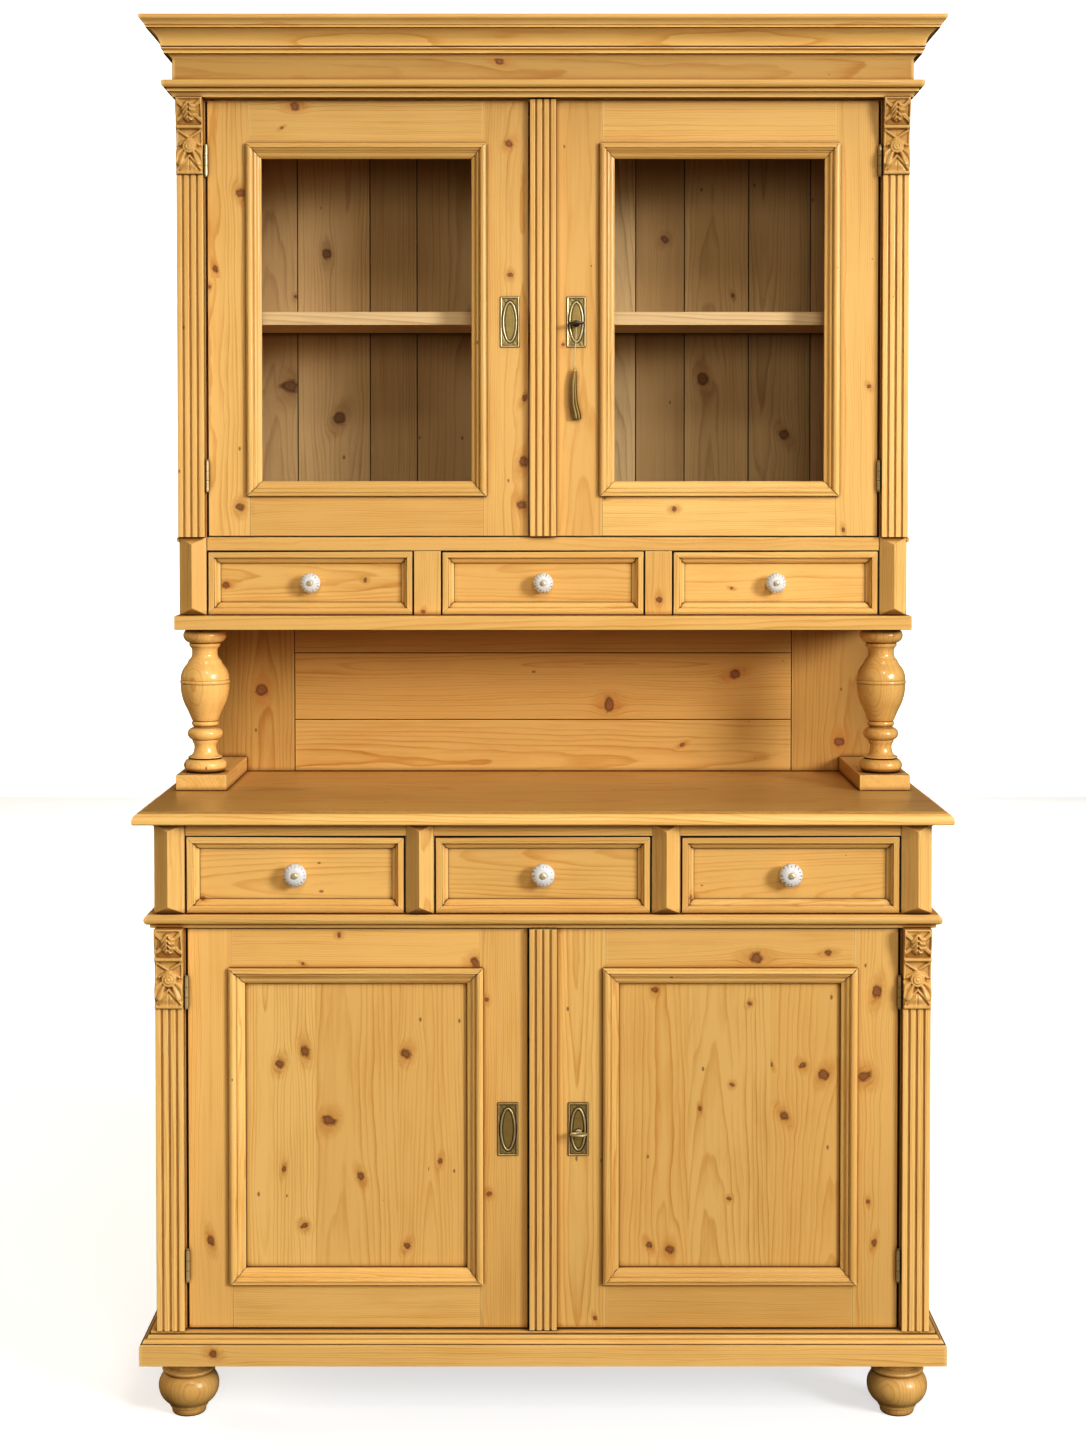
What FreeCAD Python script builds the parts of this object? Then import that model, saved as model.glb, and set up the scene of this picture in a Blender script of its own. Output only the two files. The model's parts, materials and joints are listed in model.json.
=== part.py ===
"""Welsh dresser: a panelled base cupboard, a niche with turned columns and a glazed upper cupboard.

Millimetres, +X to the right, +Y to the back, +Z up. The origin is on the floor, in the middle of
the width and of the depth.
"""
import FreeCAD
import Part
import math
import os
import Sketcher
from types import SimpleNamespace

V = FreeCAD.Vector

SIZES = {
    # Case and worktop
    "case_width": 1153,
    "worktop_depth": 531,
    "worktop_overhang": 31,
    "worktop_thick": 19,
    "worktop_round": 11,
    "worktop_step": 2,
    "side_thick": 20,
    "back_thick": 15,
    "post_width": 43.5,
    "post_thick": 24,
    "rail_depth": 40,
    "joint_gap": 0.2,
    # Heights from the floor up
    "plinth_clearance": 92,
    "plinth_height": 48,
    "plinth_reach": 24.5,
    "floor_thick": 24,
    "base_door_opening": 605,
    "waist_height": 20,
    "waist_reach": 16,
    "base_drawer_opening": 116,
    "top_rail_height": 20,
    "niche_height": 255.5,
    "upper_board_thick": 22,
    "upper_drawer_opening": 102.5,
    "deck_thick": 21.5,
    "upper_door_opening": 690.5,
    "architrave_height": 26,
    "architrave_reach": 15,
    "frieze_height": 119,
    "frieze_thick": 26,
    "cornice_height": 61,
    "cornice_reach": 45,
    "cornice_rise": 2,
    # Upper cupboard's place and its projecting boards
    "upper_setback": 240,
    "upper_overhang": 5,
    "upper_board_front": 25,
    "frieze_front": 20,
    "top_board_thick": 22,
    # Feet, blocks and columns
    "foot_radius": 45.5,
    "foot_inset": 40,
    "rear_foot_inset": 52,
    "spigot_radius": 10,
    "spigot_length": 15,
    "spigot_clearance": 0.1,
    "block_width": 80,
    "block_height": 25,
    "block_front": 15,
    "column_radius": 39.7,
    "column_setback": 48,
    # Boards inside
    "niche_upright_width": 156,
    "niche_low_board": 88,
    "niche_middle_board": 113,
    "shelf_thick": 21.5,
    "upper_shelf_rise": 339,
    "base_shelf_rise": 300,
    "shelf_setback": 55,
    "cleat_width": 15,
    "cleat_height": 22,
    "stop_height": 20,
    # Trim on the posts
    "pilaster_inset": 2.2,
    "pilaster_thick": 12,
    "flute_width": 3,
    "flute_depth": 4,
    "corbel_height": 120,
    "corbel_reach": 25,
    "rosette_radius": 11,
    "facet_height": 18,
    "facet_hip": 12,
    "facet_inset": 0.5,
    "corner_facet_overhang": 3,
    "divider_facet_width": 41,
    "bead_height": 15,
    "bead_reach": 5,
    "deck_bead_height": 8,
    "deck_bead_reach": 3,
    # Drawers
    "divider_x": 183.3,
    "divider_width": 43,
    "drawer_gap": 1.2,
    "drawer_run": 0.3,
    "drawer_moulding_width": 19,
    "drawer_moulding_thick": 13,
    "drawer_proud": 1,
    "drawer_front_thick": 14,
    "drawer_side_thick": 12,
    "drawer_side_drop": 18,
    "drawer_bottom_thick": 6,
    "drawer_bottom_rise": 10,
    "drawer_groove": 5,
    "base_drawer_back_gap": 26,
    "upper_drawer_back_gap": 16,
    "runner_margin": 26,
    "guide_height": 20,
    "base_knob_radius": 17.6,
    "upper_knob_radius": 16.2,
    "knob_projection": 29,
    "knob_bolt_radius": 2.4,
    "knob_bolt_clearance": 0.1,
    # Doors
    "door_thick": 23,
    "door_gap": 3,
    "door_end_gap": 1.5,
    "strip_half_width": 20.5,
    "meeting_gap": 2,
    "meeting_joint": 94,
    "stile_width": 66,
    "upper_top_rail": 72.5,
    "upper_bottom_rail": 68,
    "base_top_rail": 64.5,
    "base_bottom_rail": 70.5,
    "tenon_length": 25,
    "tenon_thick": 8,
    "tenon_shoulder": 14,
    "door_moulding_width": 24,
    "door_moulding_lap": 5,
    "door_moulding_proud": 9,
    "panel_setback": 8,
    "glass_thick": 3,
    "panel_thick": 8,
    "bead_width": 10,
    # Hinges
    "hinge_length": 46,
    "hinge_inset": 97,
    "hinge_barrel_radius": 3.25,
    "hinge_pin_radius": 1.5,
    "hinge_pin_clearance": 0.05,
    "hinge_pin_head": 2,
    "hinge_forward": 4,
    "hinge_leaf_thick": 1.2,
    "hinge_leaf_depth": 16,
    # Locks and keys
    "key_x": 52.5,
    "upper_key_rise": 337,
    "base_key_rise": 298.5,
    "plate_width": 30.5,
    "plate_height": 80,
    "plate_thick": 2.5,
    "plate_ring_width": 23.5,
    "plate_ring_height": 65,
    "plate_ring_bar": 2.5,
    "plate_ring_thick": 1.2,
    "plate_rise": 3,
    "key_radius": 2.8,
    "key_clearance": 0.2,
    "key_reach": 10,
    "bow_width": 26,
    "bow_depth": 19.5,
    "bow_bar": 4,
    "bit_length": 8,
    "bit_width": 2.2,
    "bit_depth": 7,
    "lock_left": 17,
    "lock_width": 92,
    "lock_above": 34,
    "lock_below": 22,
    "lock_depth": 13,
    "lock_wall": 1.5,
    "bolt_rise": 12,
    "bolt_height": 12,
    "bolt_thick": 6,
    "bolt_length": 57,
    "bolt_clearance": 0.3,
    "keep_length": 20,
    "keep_wall": 4,
    "keep_edge": 0.5,
    # Key cord and tassel
    "cord_radius": 0.8,
    "cord_forward": 7.5,
    "cord_length": 66,
    "tassel_length": 80,
    "tassel_radius": 6.5,
}

# Relative widths of the back boards of the upper cupboard, from left to right.
UPPER_BACK_SHARES = (143, 122, 79, 122, 130, 116, 82, 108, 104, 106)
BASE_BACK_BOARDS = 7
MITRE_SIZE = 300.0
# Bend of a side that is all but a half circle
HALF_ROUND = 0.97

doc = FreeCAD.newDocument("welsh_dresser")
sheet = doc.addObject("Spreadsheet::Sheet", "Sizes")
for row, (alias, number) in enumerate(SIZES.items(), 1):
    sheet.set(f"A{row}", alias)
    sheet.set(f"B{row}", str(number))
    sheet.setAlias(f"B{row}", alias)
doc.recompute()


class Size:
    """A length worked out from the sheet: its formula and its present value."""

    def __init__(self, formula, value):
        self.formula = formula
        self.value = value

    def join(self, sign, other, value):
        return Size(f"({self.formula} {sign} {other.formula})", value)

    def __add__(self, other):
        other = as_size(other)
        return self.join("+", other, self.value + other.value)

    def __sub__(self, other):
        other = as_size(other)
        return self.join("-", other, self.value - other.value)

    def __mul__(self, other):
        other = as_size(other)
        return self.join("*", other, self.value * other.value)

    def __truediv__(self, other):
        other = as_size(other)
        return self.join("/", other, self.value / other.value)

    def __radd__(self, other):
        return as_size(other) + self

    def __rsub__(self, other):
        return as_size(other) - self

    def __rmul__(self, other):
        return as_size(other) * self

    def __neg__(self):
        return Size(f"(-1 * {self.formula})", -self.value)


def as_size(number):
    """A plain number as a Size."""
    if isinstance(number, Size):
        return number
    return Size(repr(float(number)), float(number))


def root_of_squares(a, b):
    """The length of a line with the two given extents."""
    return Size(f"sqrt({a.formula} ^ 2 + {b.formula} ^ 2)", math.hypot(a.value, b.value))


s = SimpleNamespace(**{alias: Size(f"Sizes.{alias}", float(number)) for alias, number in SIZES.items()})

# Planes and levels that pieces share
half = s.case_width / 2
y_back = s.worktop_depth / 2
y_panel = y_back - s.back_thick
base_front = s.worktop_overhang - y_back
upper_front = base_front + s.upper_setback
post_in = half - s.post_width
side_in = half - s.side_thick
wide = half + s.upper_overhang

z_plinth = s.plinth_clearance
z_floor = z_plinth + s.plinth_height
z_floor_under = z_floor - s.floor_thick
z_waist = z_floor + s.base_door_opening
z_base_drawer = z_waist + s.waist_height
z_top_rail = z_base_drawer + s.base_drawer_opening
z_worktop_under = z_top_rail + s.top_rail_height
z_worktop = z_worktop_under + s.worktop_thick
z_board_under = z_worktop + s.niche_height
z_board = z_board_under + s.upper_board_thick
z_deck_under = z_board + s.upper_drawer_opening
z_deck = z_deck_under + s.deck_thick
z_case_top = z_deck + s.upper_door_opening
z_frieze_top = z_case_top + s.frieze_height
z_cornice_top = z_frieze_top + s.cornice_rise
z_cornice = z_cornice_top - s.cornice_height

nodes = {}


# Making of simple pieces

def bind(item, prop, length):
    item.setExpression(prop, as_size(length).formula)


def put(item, x, y, z):
    """Places an object by lengths from the sheet."""
    for axis, length in zip("xyz", (x, y, z)):
        bind(item, f"Placement.Base.{axis}", length)
    return item


def board(name, x, y, z):
    """A square-edged board between two limits on each axis."""
    box = doc.addObject("Part::Box", name)
    for prop, (low, high) in zip(("Length", "Width", "Height"), (x, y, z)):
        bind(box, prop, as_size(high) - low)
    return put(box, x[0], y[0], z[0])


def rod(name, start, radius, length, along):
    """A round bar from a point along +X, +Y or +Z."""
    turns = {
        "x": FreeCAD.Rotation(V(0, 1, 0), 90),
        "y": FreeCAD.Rotation(V(1, 0, 0), -90),
        "z": FreeCAD.Rotation(),
    }
    bar = doc.addObject("Part::Cylinder", name)
    bind(bar, "Radius", radius)
    bind(bar, "Height", length)
    bar.Placement = FreeCAD.Placement(V(), turns[along])
    return put(bar, *start)


def group(name, pieces):
    compound = doc.addObject("Part::Compound", name)
    compound.Links = pieces
    return compound


def cut(name, base, tools):
    result = doc.addObject("Part::Cut", name)
    result.Base = base
    result.Tool = tools[0] if len(tools) == 1 else group(name + "_tools", tools)
    return result


def fuse(name, pieces):
    result = doc.addObject("Part::MultiFuse", name)
    result.Shapes = pieces
    return result


def mirror(name, source, normal, base=(0, 0, 0)):
    """The mirror image of a piece in a plane square to an axis."""
    image = doc.addObject("Part::Mirroring", name)
    image.Source = source
    image.Normal = normal
    for axis, length in zip("xyz", base):
        bind(image, f"Base.{axis}", length)
    return image


def mirrored_pair(name, source):
    return [source, mirror(name + "_right", source, V(1, 0, 0))]


def fill(sketch, points):
    """Draws a closed outline. A point's third number, if any, bends the side that follows it:
    the tangent of a quarter of its arc, positive to the right of the way round."""
    count = len(points)
    corners = [(as_size(point[0]), as_size(point[1])) for point in points]
    bends = [point[2] if len(point) > 2 else 0 for point in points]
    sides = []
    for index in range(count):
        start = V(corners[index][0].value, corners[index][1].value, 0)
        end = V(corners[(index + 1) % count][0].value, corners[(index + 1) % count][1].value, 0)
        chord = end - start
        if bends[index]:
            middle = (start + end) * 0.5 + V(chord.y, -chord.x, 0) * 0.5 * bends[index]
            sides.append(Part.Arc(start, middle, end))
        else:
            sides.append(Part.LineSegment(start, end))
    sketch.addGeometry(sides)
    first = [1 if bend >= 0 else 2 for bend in bends]
    rules = []
    lengths = []
    for index, (x, y) in enumerate(corners):
        for kind, length in (("DistanceX", x), ("DistanceY", y)):
            rules.append(Sketcher.Constraint(kind, -1, 1, index, first[index], length.value))
            lengths.append(length)
        if bends[index]:
            after_x, after_y = corners[(index + 1) % count]
            bend = abs(bends[index])
            radius = root_of_squares(after_x - x, after_y - y) * ((1 + bend * bend) / (4 * bend))
            rules.append(Sketcher.Constraint("Radius", index, radius.value))
            lengths.append(radius)
    for index in range(count):
        following = (index + 1) % count
        rules.append(Sketcher.Constraint("Coincident", index, 3 - first[index], following, first[following]))
    sketch.addConstraint(rules)
    for number, length in enumerate(lengths):
        bind(sketch, f"Constraints[{number}]", length)


PLANES = {
    "XY": FreeCAD.Rotation(),
    "XZ": FreeCAD.Rotation(V(1, 0, 0), 90),
    "YZ": FreeCAD.Rotation(V(1, 1, 1), 120),
}


def extrude(name, plane, points, low, high):
    """An outline in a plane through the origin, drawn out along the third axis between two limits."""
    sketch = doc.addObject("Sketcher::SketchObject", name + "_outline")
    sketch.Placement = FreeCAD.Placement(V(), PLANES[plane])
    fill(sketch, points)
    solid = doc.addObject("Part::Extrusion", name)
    solid.Base = sketch
    solid.DirMode = "Custom"
    solid.Dir = {"XY": V(0, 0, 1), "XZ": V(0, 1, 0), "YZ": V(1, 0, 0)}[plane]
    solid.Solid = True
    bind(solid, "LengthFwd", high)
    bind(solid, "LengthRev", -as_size(low))
    return solid


def body_sketch(body, role, name, points):
    plane = [item for item in body.Origin.OriginFeatures if item.Role == role][0]
    sketch = body.newObject("Sketcher::SketchObject", name)
    sketch.AttachmentSupport = [(plane, "")]
    sketch.MapMode = "FlatFace"
    fill(sketch, points)
    return sketch


def turned(name, points):
    """A piece turned about its own Z axis, from a half outline of radius and height."""
    body = doc.addObject("PartDesign::Body", name)
    sketch = body_sketch(body, "XZ_Plane", name + "_outline", points)
    turning = body.newObject("PartDesign::Revolution", name + "_turning")
    turning.Profile = sketch
    turning.ReferenceAxis = (sketch, ["V_Axis"])
    turning.Angle = 360
    return body


# Mitred mouldings

def mitre_cutter(name, corner, along, away):
    """A block with one face on a mitre plane: the plane holds `along`, the block lies on the `away` side."""
    turn = FreeCAD.Rotation(along, away, along.cross(away), "XYZ")
    block = doc.addObject("Part::Box", name)
    block.Length = MITRE_SIZE
    block.Width = MITRE_SIZE
    block.Height = MITRE_SIZE * 20
    shift = turn.multVec(V(-MITRE_SIZE / 2, 0, -MITRE_SIZE * 10))
    gap = turn.multVec(V(0, -0.5, 0))
    block.Placement = FreeCAD.Placement(shift, turn)
    return put(block, *(c + s.joint_gap * g + m for c, g, m in zip(corner, gap, shift)))


def profile_points(profile, place, flip):
    """A profile's points put into a sketch; a mirrored placing turns its bends over."""
    sign = -1 if flip else 1
    return [(*place(point[0], point[1]), sign * (point[2] if len(point) > 2 else 0)) for point in profile]


def wrapped_moulding(name, profile, reach, height, x_face, y_face, z_low, y_end):
    """A moulding round the front and both sides of the case, mitred at the front corners."""
    front = extrude(
        name + "_front_stick", "YZ",
        profile_points(profile, lambda p, q: (y_face - reach * p, z_low + height * q), True),
        -x_face - reach, x_face + reach)
    side = extrude(
        name + "_side_stick", "XZ",
        profile_points(profile, lambda p, q: (-x_face - reach * p, z_low + height * q), True),
        y_face - reach, y_end)
    corner = (-x_face, y_face, 0.0)
    diagonal = V(1, 1, 0).normalize()
    left_cut = mitre_cutter(name + "_mitre_left", corner, diagonal, V(-1, 1, 0).normalize())
    right_cut = mirror(name + "_mitre_right", left_cut, V(1, 0, 0))
    side_cut = mitre_cutter(name + "_mitre_side", corner, diagonal * -1, V(1, -1, 0).normalize())
    left = cut(name + "_left", side, [side_cut])
    return [cut(name + "_front", front, [left_cut, right_cut]), *mirrored_pair(name, left)]


def mitred_frame(name, x, z, y_face, profile, width, proud):
    """Four mitred sticks round a rectangle. The profile runs inwards from the edge and out from the face."""
    top = extrude(
        name + "_top_stick", "YZ",
        profile_points(profile, lambda p, q: (y_face - proud * q, z[1] - width * p), False), x[0], x[1])
    left = extrude(
        name + "_left_stick", "XY",
        profile_points(profile, lambda p, q: (x[0] + width * p, y_face - proud * q), True), z[0], z[1])
    upper_left = (x[0], 0.0, z[1])
    upper_right = (x[1], 0.0, z[1])
    lower_left = (x[0], 0.0, z[0])
    falling = V(1, 0, -1).normalize()
    rising = V(1, 0, 1).normalize()
    top = cut(name + "_top", top, [
        mitre_cutter(name + "_top_a", upper_left, falling, rising * -1),
        mitre_cutter(name + "_top_b", upper_right, rising, falling)])
    left = cut(name + "_left", left, [
        mitre_cutter(name + "_left_a", upper_left, falling, rising),
        mitre_cutter(name + "_left_b", lower_left, rising, falling)])
    middle = ((x[0] + x[1]) / 2, 0.0, (z[0] + z[1]) / 2)
    bottom = mirror(name + "_bottom", top, V(0, 0, 1), middle)
    right = mirror(name + "_right", left, V(1, 0, 0), middle)
    return [top, left, bottom, right]


# Profiles as shares of a moulding's reach and height, from its foot round by the outside to its top
CORNICE = [
    (0, 0, -0.3), (0.24, 0.1), (0.26, 0.1), (0.26, 0.18), (0.31, 0.2, 0.8), (0.31, 0.26), (0.36, 0.28, -0.3),
    (0.72, 0.68), (0.79, 0.69), (0.79, 0.74), (0.82, 0.75, -0.15), (0.94, 0.87, 0.3), (1, 0.95), (1, 1), (0, 1)]
ARCHITRAVE = [
    (0, 0, -0.35), (0.45, 0.3), (0.5, 0.3), (0.5, 0.48), (0.58, 0.5, 0.45), (1, 0.78), (1, 0.88),
    (0.92, 0.96), (0, 1)]
WAIST = [
    (0, 0), (0.45, 0), (0.5, 0.06), (0.5, 0.25), (0.66, 0.28, 0.35), (1, 0.52, 0.35), (0.82, 0.92),
    (0.75, 1), (0, 1)]
PLINTH = [
    (0, 0), (1, 0), (1, 0.6), (0.95, 0.66), (0.85, 0.67, 0.35), (0.62, 0.8, -0.3), (0.5, 0.91),
    (0.38, 0.92), (0.38, 1), (0, 1)]
SIDE_BEAD = [(0, 0), (0.35, 0, -0.4), (1, 0.75), (1, 1), (0, 1)]
DECK_BEAD = [(0, 0), (0.7, 0, 0.6), (0.7, 1), (0, 1)]
# Door moulding: shares of its width inwards and of its proud height outwards
lap = s.door_moulding_lap / s.door_moulding_width
depth = s.panel_setback / s.door_moulding_proud


# Base cupboard

def turned_foot(name, x, y):
    radius = s.foot_radius
    rise = z_floor_under
    shares = [
        (0.48, 0, 0.3), (0.56, 0.03), (0.58, 0.09), (0.63, 0.1), (0.65, 0.13), (0.68, 0.145, 0.26),
        (1, 0.37, 0.2), (0.83, 0.53), (0.8, 0.545), (0.82, 0.56, 0.9), (0.82, 0.61), (0.73, 0.63), (0.73, 1)]
    outline = [(0, 0)]
    outline += [(radius * point[0], rise * point[1], *point[2:]) for point in shares]
    outline += [(s.spigot_radius, rise), (s.spigot_radius, rise + s.spigot_length), (0, rise + s.spigot_length)]
    return put(turned(name, outline), x, y, 0)


foot_rows = (base_front + s.foot_inset, y_back - s.rear_foot_inset)
foot_places = [(side, y) for side in (-1.0, 1.0) for y in foot_rows]
foot_x = half - s.foot_inset
nodes["bun_feet"] = [turned_foot(f"foot_{i}", foot_x * side, y) for i, (side, y) in enumerate(foot_places)]

spigot_hole = s.spigot_radius + s.spigot_clearance
spigot_depth = s.spigot_length + s.joint_gap
nodes["base_floor"] = [cut(
    "floor_board", board("floor_blank", (-half, half), (base_front, y_back), (z_floor_under, z_floor)),
    [rod(f"foot_hole_{i}", (foot_x * side, y, z_floor_under), spigot_hole, spigot_depth, "z")
     for i, (side, y) in enumerate(foot_places)])]

nodes["plinth_moulding"] = wrapped_moulding(
    "plinth", PLINTH, s.plinth_reach, s.plinth_height, half, base_front, z_plinth, y_back)

nodes["base_side_panels"] = mirrored_pair("base_side", board(
    "base_side", (-half, -side_in), (base_front + s.post_thick, y_back), (z_floor, z_worktop_under)))


def back_boards(name, shares, z):
    """Upright boards that fill the back between the sides."""
    total = sum(shares)
    pieces = []
    done = 0
    for index, share in enumerate(shares):
        low = side_in * (2 * done / total - 1)
        done += share
        high = side_in * (2 * done / total - 1)
        pieces.append(board(f"{name}_{index}", (low + s.joint_gap, high - s.joint_gap), (y_panel, y_back), z))
    return pieces


nodes["base_back_boards"] = back_boards("base_back", (1,) * BASE_BACK_BOARDS, (z_floor, z_worktop_under))

between_posts = (s.joint_gap - post_in, post_in - s.joint_gap)


def dividers(name, front, z):
    x = (-s.divider_x - s.divider_width / 2, s.divider_width / 2 - s.divider_x)
    y = (front, front + s.post_thick)
    return mirrored_pair(name, board(name, x, y, (z[0] + s.joint_gap, z[1] - s.joint_gap)))


nodes["base_front_frame"] = [
    *mirrored_pair("base_post", board(
        "base_post", (-half, -post_in), (base_front, base_front + s.post_thick), (z_floor, z_worktop_under))),
    board("waist_rail", between_posts, (base_front, base_front + s.rail_depth), (z_waist, z_base_drawer)),
    board("top_rail", between_posts, (base_front, base_front + s.rail_depth), (z_top_rail, z_worktop_under)),
    board("door_stop", between_posts, (base_front + s.post_thick, base_front + s.rail_depth),
          (z_waist - s.stop_height, z_waist - s.joint_gap)),
    *dividers("base_divider", base_front, (z_base_drawer, z_top_rail)),
]

nodes["waist_moulding"] = wrapped_moulding(
    "waist", WAIST, s.waist_reach, s.waist_height, half, base_front, z_waist, y_back)


def shelf(name, front, z):
    """A shelf between the sides, on a cleat at each end."""
    y = (front + s.shelf_setback, y_panel - s.joint_gap)
    cleat = board(name + "_cleat", (-side_in, s.cleat_width - side_in), y, (z - s.cleat_height, z))
    x = (s.joint_gap - side_in, side_in - s.joint_gap)
    plank = board(name + "_board", x, y, (z + s.joint_gap, z + s.shelf_thick))
    return [plank, *mirrored_pair(name + "_cleat", cleat)]


nodes["base_shelf"] = shelf("base_shelf", base_front, z_floor + s.base_shelf_rise)


# Worktop with a moulded edge on the front and both sides

# From the foot of the edge to its top: share of the round's depth inwards, height, bend
WORKTOP_EDGE = [
    (0.2, z_worktop_under, 0.36), (0, z_worktop_under + s.worktop_thick * 0.15),
    (0, z_worktop_under + s.worktop_thick * 0.28, 0.36), (0.85, z_worktop - s.worktop_step),
    (1, z_worktop - s.worktop_step), (1, z_worktop)]


def backwards(points):
    """The same open line drawn from its other end."""
    bends = [point[2] if len(point) > 2 else 0 for point in points]
    return [(*point[:2], bend) for point, bend in zip(points[::-1], bends[-2::-1] + [0])]


nose_x = half + s.worktop_overhang
edge_right = [(nose_x - s.worktop_round * point[0], *point[1:]) for point in WORKTOP_EDGE]
edge_left = [(s.worktop_round * point[0] - nose_x, *point[1:]) for point in WORKTOP_EDGE]
edge_front = [(s.worktop_round * point[0] - y_back, *point[1:]) for point in WORKTOP_EDGE]
past_x = nose_x + s.worktop_overhang
past_y = y_back + s.worktop_overhang
worktop_long = extrude(
    "worktop_long", "YZ", [(y_back, z_worktop_under), (y_back, z_worktop), *backwards(edge_front)],
    -past_x, past_x)
worktop_cross = extrude("worktop_cross", "XZ", [*edge_right, *backwards(edge_left)], -past_y, past_y)
worktop = doc.addObject("Part::Common", "worktop_slab")
worktop.Base = worktop_long
worktop.Tool = worktop_cross
nodes["worktop"] = [worktop]


# Niche

block_y = upper_front - s.block_front
column_x = wide - s.block_width / 2
column_y = block_y + s.column_setback
z_block = z_worktop + s.block_height
column_height = s.niche_height - s.block_height
nodes["column_blocks"] = mirrored_pair("column_block", cut(
    "column_block",
    board("block_blank", (-wide, s.block_width - wide), (block_y, y_panel), (z_worktop, z_block)),
    [rod("block_hole", (-column_x, column_y, z_block - spigot_depth), spigot_hole, spigot_depth, "z")]))


def turned_column(name):
    """A vase-turned column with a spigot at each end."""
    radius = s.column_radius
    shares = [
        (0.61, 0, 0.9), (0.61, 0.095), (0.68, 0.1), (0.68, 0.108, -0.35), (0.455, 0.152, -0.25),
        (0.51, 0.21), (0.52, 0.225), (0.49, 0.226, 0.9), (0.49, 0.308), (0.46, 0.315), (0.49, 0.322, 0.5),
        (0.49, 0.355), (0.53, 0.362, -0.03), (0.82, 0.474, 0.1), (0.975, 0.61), (0.96, 0.614, 0.5),
        (0.96, 0.64), (0.975, 0.645, 0.2), (0.72, 0.75), (0.645, 0.78, -0.3), (0.515, 0.83, -0.3),
        (0.62, 0.876), (0.62, 0.895), (0.6, 0.9, 0.9), (0.6, 1)]
    outline = [(0, -s.spigot_length), (s.spigot_radius, -s.spigot_length), (s.spigot_radius, 0)]
    outline += [(radius * point[0], column_height * point[1], *point[2:]) for point in shares]
    top = column_height + s.spigot_length
    outline += [(s.spigot_radius, column_height), (s.spigot_radius, top), (0, top)]
    return turned(name, outline)


nodes["turned_columns"] = [
    put(turned_column(f"column_{i}"), column_x * side, column_y, z_block) for i, side in enumerate((-1.0, 1.0))]

niche_in = half - s.niche_upright_width
niche_seam_1 = z_worktop + s.niche_low_board
niche_seam_2 = niche_seam_1 + s.niche_middle_board
niche_levels = (z_worktop, niche_seam_1, niche_seam_2, z_board_under)
nodes["niche_back_panel"] = [
    *mirrored_pair("niche_upright", board(
        "niche_upright", (-half, -niche_in), (y_panel, y_back), (z_worktop, z_board_under))),
    *[board(f"niche_board_{i}", (s.joint_gap - niche_in, niche_in - s.joint_gap), (y_panel, y_back),
            (niche_levels[i] + s.joint_gap, niche_levels[i + 1])) for i in range(3)]]


# Upper cupboard

board_y = (upper_front - s.upper_board_front, y_back)
nodes["upper_base_board"] = [cut(
    "upper_board", board("upper_board_blank", (-wide, wide), board_y, (z_board_under, z_board)),
    [rod(f"board_hole_{i}", (column_x * side, column_y, z_board_under), spigot_hole, spigot_depth, "z")
     for i, side in enumerate((-1.0, 1.0))])]
behind_posts = upper_front + s.post_thick
nodes["upper_side_panels"] = mirrored_pair("upper_side", board(
    "upper_side", (-half, -side_in), (behind_posts, y_back), (z_board, z_case_top)))
nodes["upper_back_boards"] = back_boards("upper_back", UPPER_BACK_SHARES, (z_board, z_case_top))
nodes["upper_front_frame"] = [
    *mirrored_pair("upper_post", board(
        "upper_post", (-half, -post_in), (upper_front, behind_posts - s.joint_gap), (z_board, z_case_top))),
    *dividers("upper_divider", upper_front, (z_board, z_deck_under)),
    board("deck_rail", between_posts, (upper_front, behind_posts - s.joint_gap), (z_deck_under, z_deck)),
]
between_sides = (s.joint_gap - side_in, side_in - s.joint_gap)
nodes["upper_decks"] = [
    board("upper_deck", between_sides, (behind_posts, y_panel), (z_deck_under, z_deck)),
    board("upper_top", between_sides, (behind_posts, y_panel), (z_case_top - s.top_board_thick, z_case_top)),
]
nodes["upper_shelf"] = shelf("upper_shelf", upper_front, z_deck + s.upper_shelf_rise)

frieze_y = upper_front - s.frieze_front
frieze_in = wide - s.frieze_thick
BOARD_PROFILE = [(-1, 0), (0, 0), (0, 1), (-1, 1)]
nodes["frieze_boards"] = [
    *wrapped_moulding(
        "frieze", BOARD_PROFILE, s.frieze_thick, s.frieze_height, wide, frieze_y, z_case_top, y_back),
    board("frieze_back", (s.joint_gap - frieze_in, frieze_in - s.joint_gap), (y_panel, y_back),
          (z_case_top, z_frieze_top)),
]
nodes["architrave_moulding"] = wrapped_moulding(
    "architrave", ARCHITRAVE, s.architrave_reach, s.architrave_height, wide, frieze_y, z_case_top, y_back)
nodes["cornice_moulding"] = wrapped_moulding(
    "cornice", CORNICE, s.cornice_reach, s.cornice_height, wide, frieze_y, z_cornice, y_back)


# Trim on the posts

def fluted_strip(name, x, front, z):
    """A flat strip with three flutes between four reeds."""
    face = front - s.pilaster_thick
    pitch = (x[1] - x[0] + s.flute_width) / 4
    flutes = [
        board(f"{name}_flute_{i}", (x[0] + pitch * i - s.flute_width, x[0] + pitch * i),
              (face - s.flute_depth, face + s.flute_depth), (z[0] - s.flute_depth, z[1] + s.flute_depth))
        for i in (1, 2, 3)]
    return cut(name, board(name + "_blank", x, (face, front), z), flutes)


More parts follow.
